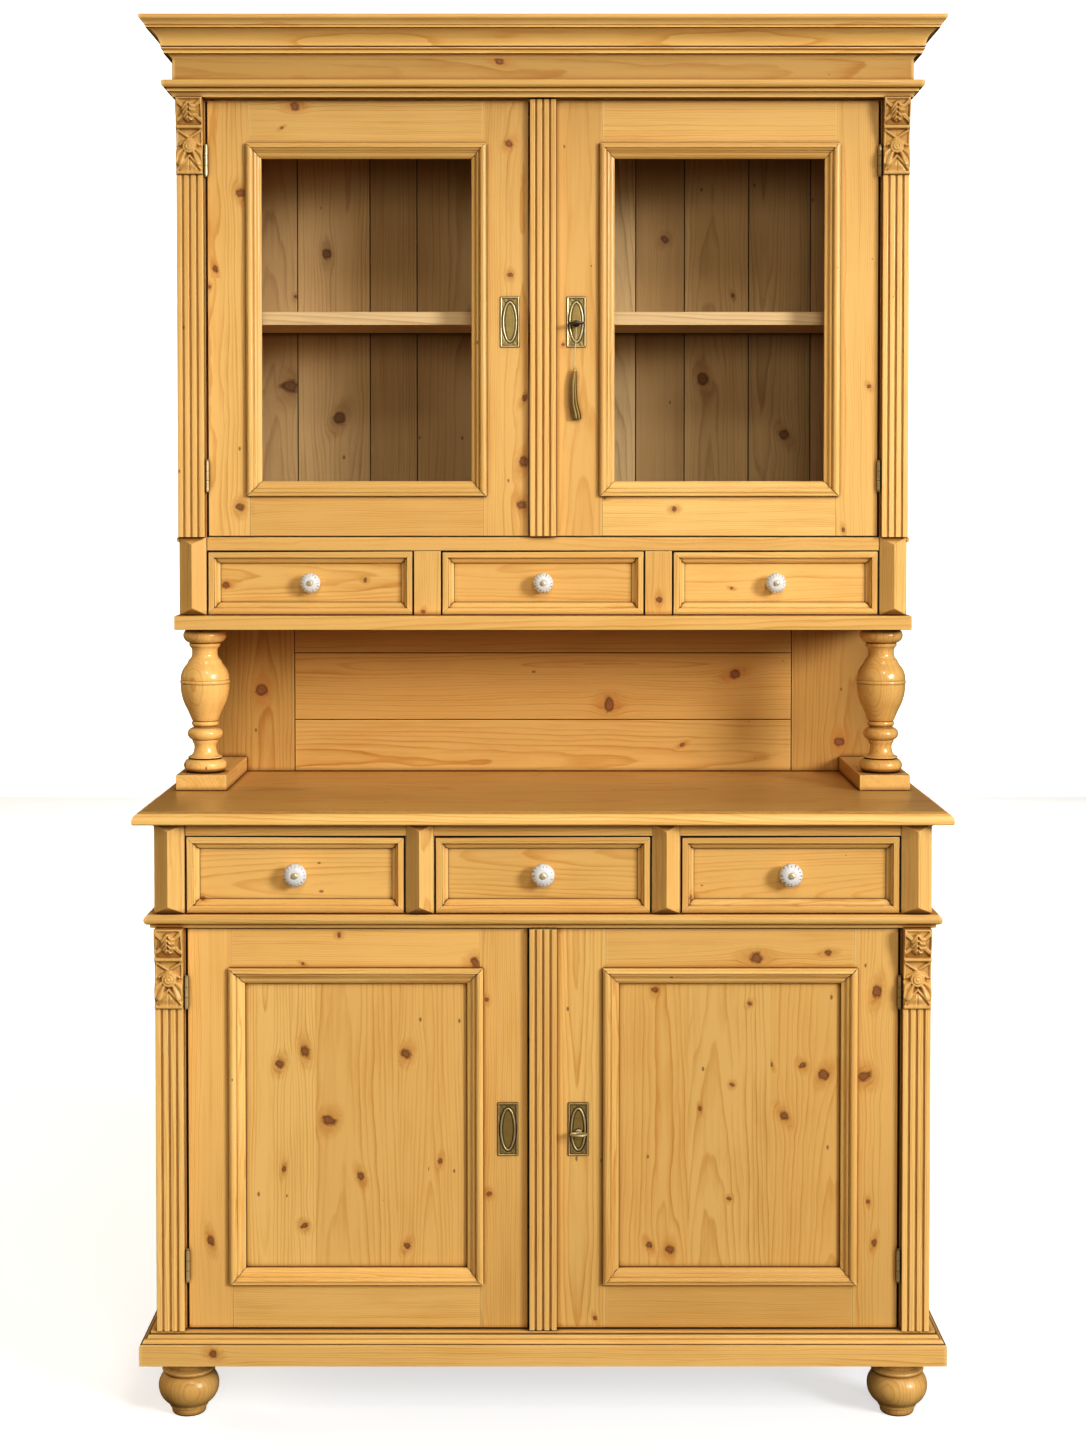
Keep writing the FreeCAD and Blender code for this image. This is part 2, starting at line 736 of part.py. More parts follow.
pilaster_in = post_in + s.pilaster_inset
nodes["fluted_pilasters"] = []
nodes["carved_corbels"] = []
CORBEL = [
    (0, 0), (0.68, 0), (0.68, 0.05), (0.7, 0.06, 0.35), (0.78, 0.13, 0.15), (0.53, 0.4, -0.15),
    (0.63, 0.57), (0.72, 0.59), (0.72, 0.645), (0.66, 0.66, -0.2), (0.82, 0.72, 0.2), (1, 0.87), (1, 1), (0, 1)]
for unit, front, z_low, z_high in (
        ("base", base_front, z_floor, z_waist), ("upper", upper_front, z_deck, z_case_top)):
    z_corbel = z_high - s.corbel_height
    pilaster = fluted_strip(unit + "_pilaster", (-half, -pilaster_in), front, (z_low, z_corbel))
    nodes["fluted_pilasters"] += mirrored_pair(unit + "_pilaster", pilaster)
    points = profile_points(
        CORBEL, lambda p, q: (front - s.corbel_reach * p, z_corbel + s.corbel_height * q), True)
    block = extrude(unit + "_corbel_block", "YZ", points, -half, -pilaster_in)
    centre_x = (half + pilaster_in) / -2
    rosette_place = (centre_x, front - s.corbel_reach * 0.78, z_corbel + s.corbel_height * 0.38)
    rosette = rod(unit + "_rosette", rosette_place, s.rosette_radius, s.corbel_reach * 0.5, "y")
    nodes["carved_corbels"] += mirrored_pair(unit + "_corbel", fuse(unit + "_corbel", [block, rosette]))


def faceted_block(name, x, front, z):
    """A block with two long facets that meet in an upright ridge, and a short facet at each end."""
    ridge = (x[1] - x[0]) / 2
    rise = z[1] - z[0]
    wedge = doc.addObject("Part::Wedge", name)
    limits = {"Xmin": 0, "Xmax": x[1] - x[0], "Zmin": 0, "Zmax": rise, "Ymin": 0, "Ymax": s.facet_height,
              "X2min": ridge, "X2max": ridge, "Z2min": s.facet_hip, "Z2max": rise - s.facet_hip}
    for prop, length in limits.items():
        bind(wedge, prop, length)
    wedge.Placement = FreeCAD.Placement(V(), FreeCAD.Rotation(V(0, 0, 1), 180))
    return put(wedge, x[1], front, z[0])


divider_edge = s.divider_facet_width / 2
nodes["faceted_blocks"] = [
    *mirrored_pair("base_corner_facet", faceted_block(
        "base_corner_facet", (-half - s.corner_facet_overhang, -post_in - s.facet_inset), base_front,
        (z_base_drawer, z_worktop_under))),
    *mirrored_pair("base_divider_facet", faceted_block(
        "base_divider_facet", (-s.divider_x - divider_edge, divider_edge - s.divider_x), base_front,
        (z_base_drawer, z_worktop_under))),
    *mirrored_pair("upper_corner_facet", faceted_block(
        "upper_corner_facet", (s.facet_inset - half, -post_in - s.facet_inset), upper_front,
        (z_board, z_deck))),
]


def side_strip(name, profile, reach, height, z_low, y_start):
    points = profile_points(profile, lambda p, q: (-half - reach * p, z_low + height * q), True)
    return mirrored_pair(name, extrude(name, "XZ", points, y_start, y_back))


nodes["side_beads"] = [
    *side_strip(
        "worktop_bead", SIDE_BEAD, s.bead_reach, s.bead_height, z_worktop_under - s.bead_height, base_front),
    *side_strip(
        "deck_bead", DECK_BEAD, s.deck_bead_reach, s.deck_bead_height, z_deck - s.deck_bead_height,
        upper_front),
]


# Drawers and what they run on

def strips(name, margin, front, z):
    """Four strips from front to back: one against each side and one behind each divider."""
    y = (front, y_panel)
    end = board(name + "_end", (-side_in, margin - post_in), y, z)
    x = (-s.divider_x - s.divider_width / 2 - margin, s.divider_width / 2 + margin - s.divider_x)
    return mirrored_pair(name + "_end", end) + mirrored_pair(name + "_middle", board(name + "_middle", x, y, z))


behind_rails = base_front + s.rail_depth
guide_inset = -s.drawer_run
z_guide = (z_base_drawer + s.joint_gap, z_base_drawer + s.guide_height)
nodes["drawer_runners"] = [
    *strips("runner", s.runner_margin, behind_rails, (z_waist, z_base_drawer)),
    *strips("base_guide", guide_inset, behind_rails, z_guide),
    *strips("kicker", s.runner_margin, behind_rails, (z_top_rail, z_worktop_under)),
    *strips("upper_guide", guide_inset, behind_posts, (z_board, z_board + s.guide_height)),
]

DRAWER_MOULDING = [
    (0, 0), (1, 0), (1, 0.12, -0.25), (0.72, 0.5, 0.3), (0.58, 0.78), (0.54, 0.78), (0.54, 0.9),
    (0.5, 1), (0, 1)]


def drawer(name, front, x, z, back_gap):
    """A drawer box, its front edged with a mitred moulding."""
    face = front - s.drawer_proud + s.drawer_moulding_thick
    rear = face + s.drawer_front_thick
    end = y_panel - back_gap
    x_out = (x[0] + s.drawer_gap, x[1] - s.drawer_gap)
    z_front = (z[0] + s.drawer_gap, z[1] - s.drawer_gap)
    z_side = (z[0] + s.drawer_run, z[1] - s.drawer_side_drop)
    thick = s.drawer_side_thick
    groove = s.drawer_groove
    z_bottom = z[0] + s.drawer_bottom_rise
    z_groove = (z_bottom - s.joint_gap, z_bottom + s.drawer_bottom_thick + s.joint_gap)
    x_groove = (x_out[0] + thick - groove, x_out[1] - thick + groove)
    slot = board(name + "_slot", x_groove, (rear - groove, end), z_groove)
    front_slot = board(name + "_front_slot", x_groove, (rear - groove, rear), z_groove)
    hole = rod(name + "_hole", ((x[0] + x[1]) / 2, face, (z[0] + z[1]) / 2),
               s.knob_bolt_radius + s.knob_bolt_clearance, s.drawer_front_thick, "y")
    gap = s.joint_gap
    y_side = (rear + gap, end)
    left_blank = board(name + "_left_blank", (x_out[0], x_out[0] + thick), y_side, z_side)
    right_blank = board(name + "_right_blank", (x_out[1] - thick, x_out[1]), y_side, z_side)
    return [
        cut(name + "_front", board(name + "_front_blank", x_out, (face, rear), z_front), [front_slot, hole]),
        cut(name + "_left", left_blank, [slot]),
        cut(name + "_right", right_blank, [slot]),
        board(name + "_back", (x_out[0] + thick + gap, x_out[1] - thick - gap), (end - thick, end),
              (z_groove[1] + gap, z_side[1])),
        board(name + "_bottom", (x_groove[0] + gap, x_groove[1] - gap), (rear - groove + gap, end),
              (z_bottom, z_bottom + s.drawer_bottom_thick)),
        *mitred_frame(name + "_moulding", x_out, z_front, face, DRAWER_MOULDING,
                      s.drawer_moulding_width, s.drawer_moulding_thick)]


def drawer_pull(name, front, x, z, radius):
    """A porcelain knob and the brass bolt that holds it."""
    face = front - s.drawer_proud + s.drawer_moulding_thick
    reach = s.knob_projection
    bore = s.knob_bolt_radius + s.knob_bolt_clearance
    knob_shares = [
        (0.56, 0), (0.56, 0.06), (0.46, 0.14, -0.3), (0.5, 0.34), (0.86, 0.42, 0.25), (1, 0.58, 0.42),
        (0.34, 0.92)]
    outline = [(radius * p[0], reach * p[1], *p[2:]) for p in knob_shares]
    knob = turned(name + "_knob", [(bore, 0), *outline, (bore, reach * 0.92)])
    head = radius * 0.27
    tail = s.drawer_front_thick
    nut = tail + reach * 0.14
    bolt = turned(name + "_bolt", [
        (0, -nut), (head, -nut), (head, -tail), (s.knob_bolt_radius, -tail), (s.knob_bolt_radius, reach * 0.92),
        (head, reach * 0.92), (head, reach * 0.95, 0.3), (head * 0.3, reach), (0, reach)])
    for piece in (knob, bolt):
        piece.Placement = FreeCAD.Placement(V(), FreeCAD.Rotation(V(1, 0, 0), 90))
        put(piece, (x[0] + x[1]) / 2, face, (z[0] + z[1]) / 2)
    return [knob, bolt]


inner_edge = s.divider_x - s.divider_width / 2
outer_edge = s.divider_x + s.divider_width / 2
drawer_bays = {
    "left": (-post_in, -outer_edge), "middle": (-inner_edge, inner_edge), "right": (outer_edge, post_in)}
for unit, front, z, radius, back_gap in (
        ("upper", upper_front, (z_board, z_deck_under), s.upper_knob_radius, s.upper_drawer_back_gap),
        ("base", base_front, (z_base_drawer, z_top_rail), s.base_knob_radius, s.base_drawer_back_gap)):
    for bay, x in drawer_bays.items():
        name = f"{unit}_{bay}_drawer"
        nodes[name] = drawer(name, front, x, z, back_gap)
        nodes[name + "_pull"] = drawer_pull(name, front, x, z, radius)


# Doors

DOOR_MOULDING = [
    (lap, -depth), (1, -depth), (1, -0.35), (0.94, -0.22, -0.2), (0.72, 0.1, 0.25), (0.56, 0.42), (0.5, 0.4),
    (0.46, 0.62, 0.3), (0.3, 0.97, 0.3), (0.06, 0.78), (0, 0.62), (0, 0), (lap, 0)]


def oval(centre_x, centre_y, width, height):
    """An outline with half-round ends, on its long or its short side."""
    if width.value < height.value:
        r = width / 2
        straight = (height - width) / 2
        return [
            (centre_x + r, centre_y - straight), (centre_x + r, centre_y + straight, HALF_ROUND),
            (centre_x - r, centre_y + straight), (centre_x - r, centre_y - straight, HALF_ROUND)]
    r = height / 2
    straight = (width - height) / 2
    return [
        (centre_x - straight, centre_y - r), (centre_x + straight, centre_y - r, HALF_ROUND),
        (centre_x + straight, centre_y + r), (centre_x - straight, centre_y + r, HALF_ROUND)]


def escutcheon(name, x, front, z, keyed):
    """A brass plate with a raised oval ring, pierced where a key goes in."""
    y = (front - s.plate_thick, front)
    edge = s.plate_thick + s.plate_ring_thick
    bar = s.plate_ring_bar * 2
    ring = cut(name + "_ring", extrude(
        name + "_ring_outer", "XZ", oval(x, z, s.plate_ring_width, s.plate_ring_height), front - edge, front), [
        extrude(name + "_ring_inner", "XZ", oval(x, z, s.plate_ring_width - bar, s.plate_ring_height - bar),
                front - edge, front)])
    plate = board(name + "_plate", (x - s.plate_width / 2, x + s.plate_width / 2), y,
                  (z - s.plate_height / 2, z + s.plate_height / 2))
    solid = fuse(name + "_whole", [plate, ring])
    return cut(name, solid, [keyhole(name, x, front, z - s.plate_rise)]) if keyed else solid


def keyhole(name, x, front, z):
    """The hole through plate and stile: round for the shank, with a slot to its right for the bit."""
    y = (front - s.plate_thick, front + s.door_thick)
    wide_slot = s.bit_width / 2 + s.key_clearance
    shank = rod(name + "_shank_hole", (x, y[0], z), s.key_radius + s.key_clearance, y[1] - y[0], "y")
    slot = board(name + "_bit_hole", (x, x + s.bit_length + s.key_clearance), y, (z - wide_slot, z + wide_slot))
    return fuse(name + "_keyhole", [shank, slot])


def hinge(name, front, z):
    """One left-hand butt hinge: the fixed leaf, the door's leaf and the pin."""
    axis_x = s.door_gap / 2 - post_in
    axis_y = front - s.hinge_forward
    radius = s.hinge_barrel_radius
    third = s.hinge_length / 3
    low = z - s.hinge_length / 2
    root = axis_y + radius + s.joint_gap
    bore_radius = s.hinge_pin_radius + s.hinge_pin_clearance
    bore = rod(name + "_bore", (axis_x, axis_y, low - third), bore_radius, third * 5, "z")
    y_leaf = (root, front + s.hinge_leaf_depth)

    def leaf(part, x, thirds):
        pieces = [board(f"{name}_{part}_leaf", x, y_leaf, (low, low + s.hinge_length))]
        for index in thirds:
            span = (low + third * index + s.joint_gap / 2, low + third * (index + 1) - s.joint_gap / 2)
            start = (axis_x, axis_y, span[0])
            pieces.append(rod(f"{name}_{part}_barrel_{index}", start, radius, span[1] - span[0], "z"))
            pieces.append(board(f"{name}_{part}_tab_{index}", x, (axis_y, root), span))
        return cut(f"{name}_{part}", fuse(f"{name}_{part}_whole", pieces), [bore])

    seat = s.joint_gap / 2
    fixed = leaf("fixed", (seat - post_in, seat - post_in + s.hinge_leaf_thick), (0, 2))
    door_side = s.door_gap - post_in - seat
    moving = leaf("moving", (door_side - s.hinge_leaf_thick, door_side), (1,))
    head = s.hinge_pin_head
    pin = fuse(name + "_pin", [
        rod(name + "_pin_shaft", (axis_x, axis_y, low), s.hinge_pin_radius, s.hinge_length, "z"),
        rod(name + "_pin_foot", (axis_x, axis_y, low - head), radius * 0.8, head, "z"),
        rod(name + "_pin_head", (axis_x, axis_y, low + s.hinge_length), radius * 0.8, head, "z")])
    return fixed, moving, pin


def door(name, front, z, x, joints, rails, infill, key_z):
    """A framed door. joints are the stiles' inner edges, rails the heights of the top and bottom rail."""
    y = (front, front + s.door_thick)
    z_open = (z[0] + rails[1], z[1] - rails[0])
    gap = s.joint_gap
    y_tenon = (front + (s.door_thick - s.tenon_thick) / 2, front + (s.door_thick + s.tenon_thick) / 2)
    spans = {"top": (z_open[1], z[1]), "bottom": (z[0], z_open[0])}
    mortises = []
    frame = []
    for part, span in spans.items():
        z_tenon = (span[0] + s.tenon_shoulder, span[1] - s.tenon_shoulder)
        grown = (z_tenon[0] - gap, z_tenon[1] + gap)
        mortises.append(board(
            f"{name}_{part}_mortise", (joints[0] - s.tenon_length - gap, joints[1] + s.tenon_length + gap),
            (y_tenon[0] - gap, y_tenon[1] + gap), grown))
        rail = board(f"{name}_{part}_rail_blank", (joints[0] + gap, joints[1] - gap), y, span)
        x_tenon = (joints[0] - s.tenon_length, joints[1] + s.tenon_length)
        tenon = board(f"{name}_{part}_tenon", x_tenon, y_tenon, z_tenon)
        frame.append(fuse(f"{name}_{part}_rail", [rail, tenon]))
    holes = [] if key_z is None else [keyhole(name, s.key_x, front, key_z)]
    stile_a = board(name + "_stile_a_blank", (x[0], joints[0]), y, z)
    stile_b = board(name + "_stile_b_blank", (joints[1], x[1]), y, z)
    frame.append(cut(name + "_stile_a", stile_a, mortises + holes))
    frame.append(cut(name + "_stile_b", stile_b, mortises))
    lap_size = s.door_moulding_lap
    inset = (joints[0] + gap, joints[1] - gap)
    frame += mitred_frame(
        name + "_moulding", (inset[0] - lap_size, inset[1] + lap_size),
        (z_open[0] + gap - lap_size, z_open[1] - gap + lap_size),
        front, DOOR_MOULDING, s.door_moulding_width, s.door_moulding_proud)
    z_inset = (z_open[0] + gap, z_open[1] - gap)
    y_infill = (front + s.panel_setback + gap, front + s.panel_setback + gap + infill)
    y_bead = (y_infill[1] + gap, y[1])
    pane = board(name + "_infill", inset, y_infill, z_inset)
    width = s.bead_width
    bead_z = (z_inset[0] + width + gap, z_inset[1] - width - gap)
    frame += [
        board(name + "_bead_bottom", inset, y_bead, (z_inset[0], z_inset[0] + width)),
        board(name + "_bead_top", inset, y_bead, (z_inset[1] - width, z_inset[1])),
        board(name + "_bead_a", (inset[0], inset[0] + width), y_bead, bead_z),
        board(name + "_bead_b", (inset[1] - width, inset[1]), y_bead, bead_z)]
    return frame, pane


def lock(name, front, z):
    """The lock on a right-hand door and the keep on its neighbour: case, bolt, keep and key."""
    rear = front + s.door_thick
    wall = s.lock_wall
    x_case = (-s.lock_left, s.lock_width - s.lock_left)
    z_case = (z - s.lock_below, z + s.lock_above)
    cover = rear + s.lock_depth
    clear = s.bolt_clearance
    y_bolt = (cover - wall - clear - s.bolt_thick, cover - wall - clear)
    z_bolt = (z + s.bolt_rise, z + s.bolt_rise + s.bolt_height)
    case = cut(name + "_case", board(name + "_case_blank", x_case, (rear, cover), z_case), [
        board(name + "_case_hollow", (x_case[0] + wall, x_case[1] - wall), (rear, cover - wall),
              (z_case[0] + wall, z_case[1] - wall)),
        board(name + "_case_slot", (x_case[0], x_case[0] + wall), (y_bolt[0] - clear, cover - wall),
              (z_bolt[0] - clear, z_bolt[1] + clear))])
    bolt = board(name + "_bolt", (x_case[0], x_case[0] + s.bolt_length), y_bolt, z_bolt)
    edge = -s.strip_half_width - s.meeting_gap - s.keep_edge
    x_keep = (edge - s.keep_length, edge)
    z_keep = (z_bolt[0] - s.keep_wall, z_bolt[1] + s.keep_wall)
    keep = cut(name + "_keep", board(name + "_keep_blank", x_keep, (rear, cover + s.keep_wall), z_keep), [
        board(name + "_keep_slot", x_keep, (y_bolt[0] - clear, y_bolt[1] + clear),
              (z_bolt[0] - clear, z_bolt[1] + clear))])
    bow_y = front - s.key_reach - s.bow_depth / 2
    z_bow = (z - s.bow_bar / 2, z + s.bow_bar / 2)
    bars = s.bow_bar * 2
    outside = oval(s.key_x, bow_y, s.bow_width, s.bow_depth)
    inside = oval(s.key_x, bow_y, s.bow_width - bars, s.bow_depth - bars)
    bow = cut(name + "_bow", extrude(name + "_bow_outer", "XY", outside, *z_bow), [
        extrude(name + "_bow_inner", "XY", inside, *z_bow)])
    bit_end = cover - wall - clear
    key = fuse(name + "_key", [
        bow,
        rod(name + "_shank", (s.key_x, front - s.key_reach - s.bow_bar / 2, z), s.key_radius,
            bit_end - front + s.key_reach + s.bow_bar / 2, "y"),
        board(name + "_bit", (s.key_x, s.key_x + s.bit_length), (bit_end - s.bit_depth, bit_end),
              (z - s.bit_width / 2, z + s.bit_width / 2))])
    return case, bolt, keep, key


door_units = {
    "upper": dict(front=upper_front, z=(z_deck, z_case_top), rails=(s.upper_top_rail, s.upper_bottom_rail),
                  infill=s.glass_thick, infill_name="glass", key_rise=s.upper_key_rise),
    "base": dict(front=base_front, z=(z_floor, z_waist), rails=(s.base_top_rail, s.base_bottom_rail),
                 infill=s.panel_thick, infill_name="panel", key_rise=s.base_key_rise),
}
nodes["fixed_hinge_leaves"] = []
nodes["hinge_pins"] = []
door_edge = post_in - s.door_gap
stile_joint = door_edge - s.stile_width
left_edge = -s.strip_half_width - s.meeting_gap
for unit, u in door_units.items():
    front = u["front"]
    z_door = (u["z"][0] + s.door_end_gap, u["z"][1] - s.door_end_gap)
    key_z = u["z"][0] + u["key_rise"]
    case, bolt, keep, key = lock(unit, front, key_z)
    left_frame, left_pane = door(
        unit + "_left_door", front, z_door, (-door_edge, left_edge), (-stile_joint, -s.meeting_joint),
        u["rails"], u["infill"], None)
    right_frame, right_pane = door(
        unit + "_right_door", front, z_door, (-s.strip_half_width, door_edge), (s.meeting_joint, stile_joint),
        u["rails"], u["infill"], key_z)
    fittings = {"left": [keep], "right": [case]}
    for level, z_hinge in (("low", u["z"][0] + s.hinge_inset), ("high", u["z"][1] - s.hinge_inset)):
        fixed, moving, pin = hinge(f"{unit}_{level}_hinge", front, z_hinge)
        nodes["fixed_hinge_leaves"] += mirrored_pair(f"{unit}_{level}_fixed", fixed)
        nodes["hinge_pins"] += mirrored_pair(f"{unit}_{level}_pins", pin)
        left_leaf, right_leaf = mirrored_pair(f"{unit}_{level}_moving", moving)
        fittings["left"].append(left_leaf)
        fittings["right"].append(right_leaf)
    plate_z = key_z + s.plate_rise
    fittings["left"].append(escutcheon(unit + "_left_plate", -s.key_x, front, plate_z, False))
    fittings["right"].append(escutcheon(unit + "_right_plate", s.key_x, front, plate_z, True))
    nodes[unit + "_left_door_frame"] = left_frame
    nodes[unit + "_right_door_frame"] = right_frame
    nodes[f"{unit}_left_{u['infill_name']}"] = [left_pane]
    nodes[f"{unit}_right_{u['infill_name']}"] = [right_pane]
    nodes[unit + "_left_door_fittings"] = fittings["left"]
    nodes[unit + "_right_door_fittings"] = fittings["right"]
    nodes[unit + "_meeting_strip"] = [fluted_strip(
        unit + "_strip", (-s.strip_half_width, s.strip_half_width), front, z_door)]
    nodes[unit + "_lock_bolt"] = [bolt]
    nodes[unit + "_key"] = [key]


# Cord and tassel on the upper key

cord_x = s.key_x
cord_y = upper_front - s.cord_forward
cord_z = z_deck + s.upper_key_rise
loop_radius = s.key_radius + s.cord_radius + s.key_clearance
loop = doc.addObject("Part::Torus", "cord_loop")
bind(loop, "Radius1", loop_radius)
bind(loop, "Radius2", s.cord_radius)
loop.Placement = FreeCAD.Placement(V(), FreeCAD.Rotation(V(1, 0, 0), 90))
put(loop, cord_x, cord_y, cord_z)
cord_top = cord_z - loop_radius - s.cord_radius - s.joint_gap
cord_low = cord_top - s.cord_length
nodes["key_cord"] = [loop, rod("cord", (cord_x, cord_y, cord_low), s.cord_radius, s.cord_length, "z")]

tassel_shares = [
    (0.2, 1, -0.1), (0.3, 0.97, 0.6), (0.62, 0.9, 0.5), (0.42, 0.83), (0.46, 0.81), (0.46, 0.79),
    (0.6, 0.76, 0.03),
    (1, 0.04), (0.9, 0)]
tassel = turned("tassel", [(0, s.tassel_length)] + [
    (s.tassel_radius * p[0], s.tassel_length * p[1], *[-b for b in p[2:]]) for p in tassel_shares] + [(0, 0)])
nodes["key_tassel"] = [put(tassel, cord_x, cord_y, cord_low - s.tassel_length)]


# Checking and writing

doc.recompute()
subparts = []
for label, pieces in nodes.items():
    subpart = group("node_" + label, pieces) if len(pieces) > 1 else pieces[0]
    subpart.Label = label
    subparts.append(subpart)
doc.recompute()
failed = [item.Name for item in doc.Objects if {"Invalid", "Error"} & set(item.State)]
failed += [item.Label for item in subparts if item.Shape.isNull() or not item.Shape.isValid()]
failed += [item.Label for item in subparts if not item.Shape.Solids]
if failed:
    raise RuntimeError("these did not build: " + ", ".join(failed))
os.makedirs("parts", exist_ok=True)
for subpart in subparts:
    subpart.Shape.exportStep(f"parts/{subpart.Label}.step")
print(len(subparts), "nodes,", sum(len(item.Shape.Solids) for item in subparts), "solids")
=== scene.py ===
"""A welsh dresser in waxed pine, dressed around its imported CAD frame.

Metres, +X to the right, +Y to the back, +Z up; the doors face -Y.
"""
import bmesh
import bpy
import json
import random
from functools import partialmethod
from math import atan2, cos, hypot, pi, radians, sin, sqrt, tau
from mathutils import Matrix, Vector


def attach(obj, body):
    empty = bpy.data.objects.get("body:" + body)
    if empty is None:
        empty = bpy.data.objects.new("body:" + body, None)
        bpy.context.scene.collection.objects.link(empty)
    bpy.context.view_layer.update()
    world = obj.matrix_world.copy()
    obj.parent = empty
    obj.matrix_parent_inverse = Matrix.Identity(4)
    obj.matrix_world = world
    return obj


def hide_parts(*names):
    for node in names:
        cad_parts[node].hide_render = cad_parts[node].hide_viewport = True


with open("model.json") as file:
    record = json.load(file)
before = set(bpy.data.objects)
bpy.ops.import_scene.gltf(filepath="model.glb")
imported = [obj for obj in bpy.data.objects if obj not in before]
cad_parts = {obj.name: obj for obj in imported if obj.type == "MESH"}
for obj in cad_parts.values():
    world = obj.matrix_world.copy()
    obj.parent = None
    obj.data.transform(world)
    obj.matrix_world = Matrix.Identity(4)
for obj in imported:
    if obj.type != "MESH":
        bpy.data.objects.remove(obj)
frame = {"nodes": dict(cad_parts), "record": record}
scene = bpy.context.scene
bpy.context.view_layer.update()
nodes = frame["nodes"]
body_of = {node: body for body, members in frame["record"]["behaviour"]["bodies"].items() for node in members}

MM = 0.001


# Materials

class Shader:
    """The node tree of a material or a world, with short ways to add and join nodes."""

    def __init__(self, name, world=False):
        self.owner = (bpy.data.worlds if world else bpy.data.materials).new(name)
        self.owner.use_nodes = True
        self.tree = self.owner.node_tree
        self.tree.nodes.clear()

    def add(self, kind, inputs=None, **settings):
        node = self.tree.nodes.new(kind)
        for name, value in settings.items():
            setattr(node, name, value)
        for name, value in (inputs or {}).items():
            self.join(value, node.inputs[name])
        return node

    def join(self, value, socket):
        if isinstance(value, bpy.types.NodeSocket):
            self.tree.links.new(value, socket)
        else:
            socket.default_value = value

    def math(self, operation, *values):
        node = self.add("ShaderNodeMath", dict(enumerate(values)), operation=operation)
        return node.outputs[0]

    mul = partialmethod(math, "MULTIPLY")
    plus = partialmethod(math, "ADD")
    minus = partialmethod(math, "SUBTRACT")
    over = partialmethod(math, "DIVIDE")
    # A value times a factor, added to a start
    scale = partialmethod(math, "MULTIPLY_ADD")

    def rest(self, value):
        """What a value leaves of 1."""
        return self.minus(1.0, value)

    def clamp(self, value):
        return self.math("MAXIMUM", self.math("MINIMUM", value, 1.0), 0.0)

    def times(self, vector, factors):
        node = self.add("ShaderNodeVectorMath", {0: vector, 1: factors}, operation="MULTIPLY")
        return node.outputs[0]

    def attribute(self, name):
        return self.add("ShaderNodeAttribute", attribute_name=name).outputs["Vector"]

    def number(self, name):
        return self.add("ShaderNodeAttribute", attribute_name=name).outputs["Fac"]

    def openness(self, distance, samples, inside=False):
        """1 in the open, less in a corner; seen from inside, less along an outer edge."""
        node = self.add("ShaderNodeAmbientOcclusion", {"Distance": distance}, samples=samples, inside=inside)
        return node.outputs["AO"]

    def spot(self):
        return self.add("ShaderNodeTexCoord").outputs["Object"]

    def split(self, vector):
        return self.add("ShaderNodeSeparateXYZ", {0: vector}).outputs

    def join_xyz(self, x, y, z):
        return self.add("ShaderNodeCombineXYZ", {0: x, 1: y, 2: z}).outputs[0]

    def noise(self, vector, scale=1.0, detail=2.0, roughness=0.5):
        node = self.add("ShaderNodeTexNoise", {
            "Vector": vector, "Scale": scale, "Detail": detail, "Roughness": roughness})
        return node.outputs["Fac"]

    def step(self, value, low, high):
        """0 at low, 1 at high and smooth between them."""
        node = self.add("ShaderNodeMapRange", {"Value": value, "From Min": low, "From Max": high},
                        interpolation_type="SMOOTHSTEP")
        return node.outputs["Result"]

    def fit(self, value, low, high):
        """A value of 0 to 1 brought to another range."""
        return self.scale(value, high - low, low)

    def mix(self, factor, first, second, blend="MIX"):
        node = self.add("ShaderNodeMix", data_type="RGBA", blend_type=blend)
        self.join(factor, node.inputs[0])
        for colour, place_of in ((first, 6), (second, 7)):
            given = isinstance(colour, bpy.types.NodeSocket)
            self.join(colour if given else (*colour, 1.0), node.inputs[place_of])
        return node.outputs[2]

    def shade(self, height=None, bump_distance=0.0, **inputs):
        """Ends the tree in one principled surface, with a bump from a height."""
        surface = self.add("ShaderNodeBsdfPrincipled", inputs)
        if height is not None:
            bump = self.add("ShaderNodeBump", {"Height": height, "Distance": bump_distance, "Strength": 1.0})
            self.join(bump.outputs[0], surface.inputs["Normal"])
        self.add("ShaderNodeOutputMaterial", {"Surface": surface.outputs[0]})
        return self.owner


def dyed(colour, *factors):
    return tuple(part * factor for part, factor in zip(colour, factors))


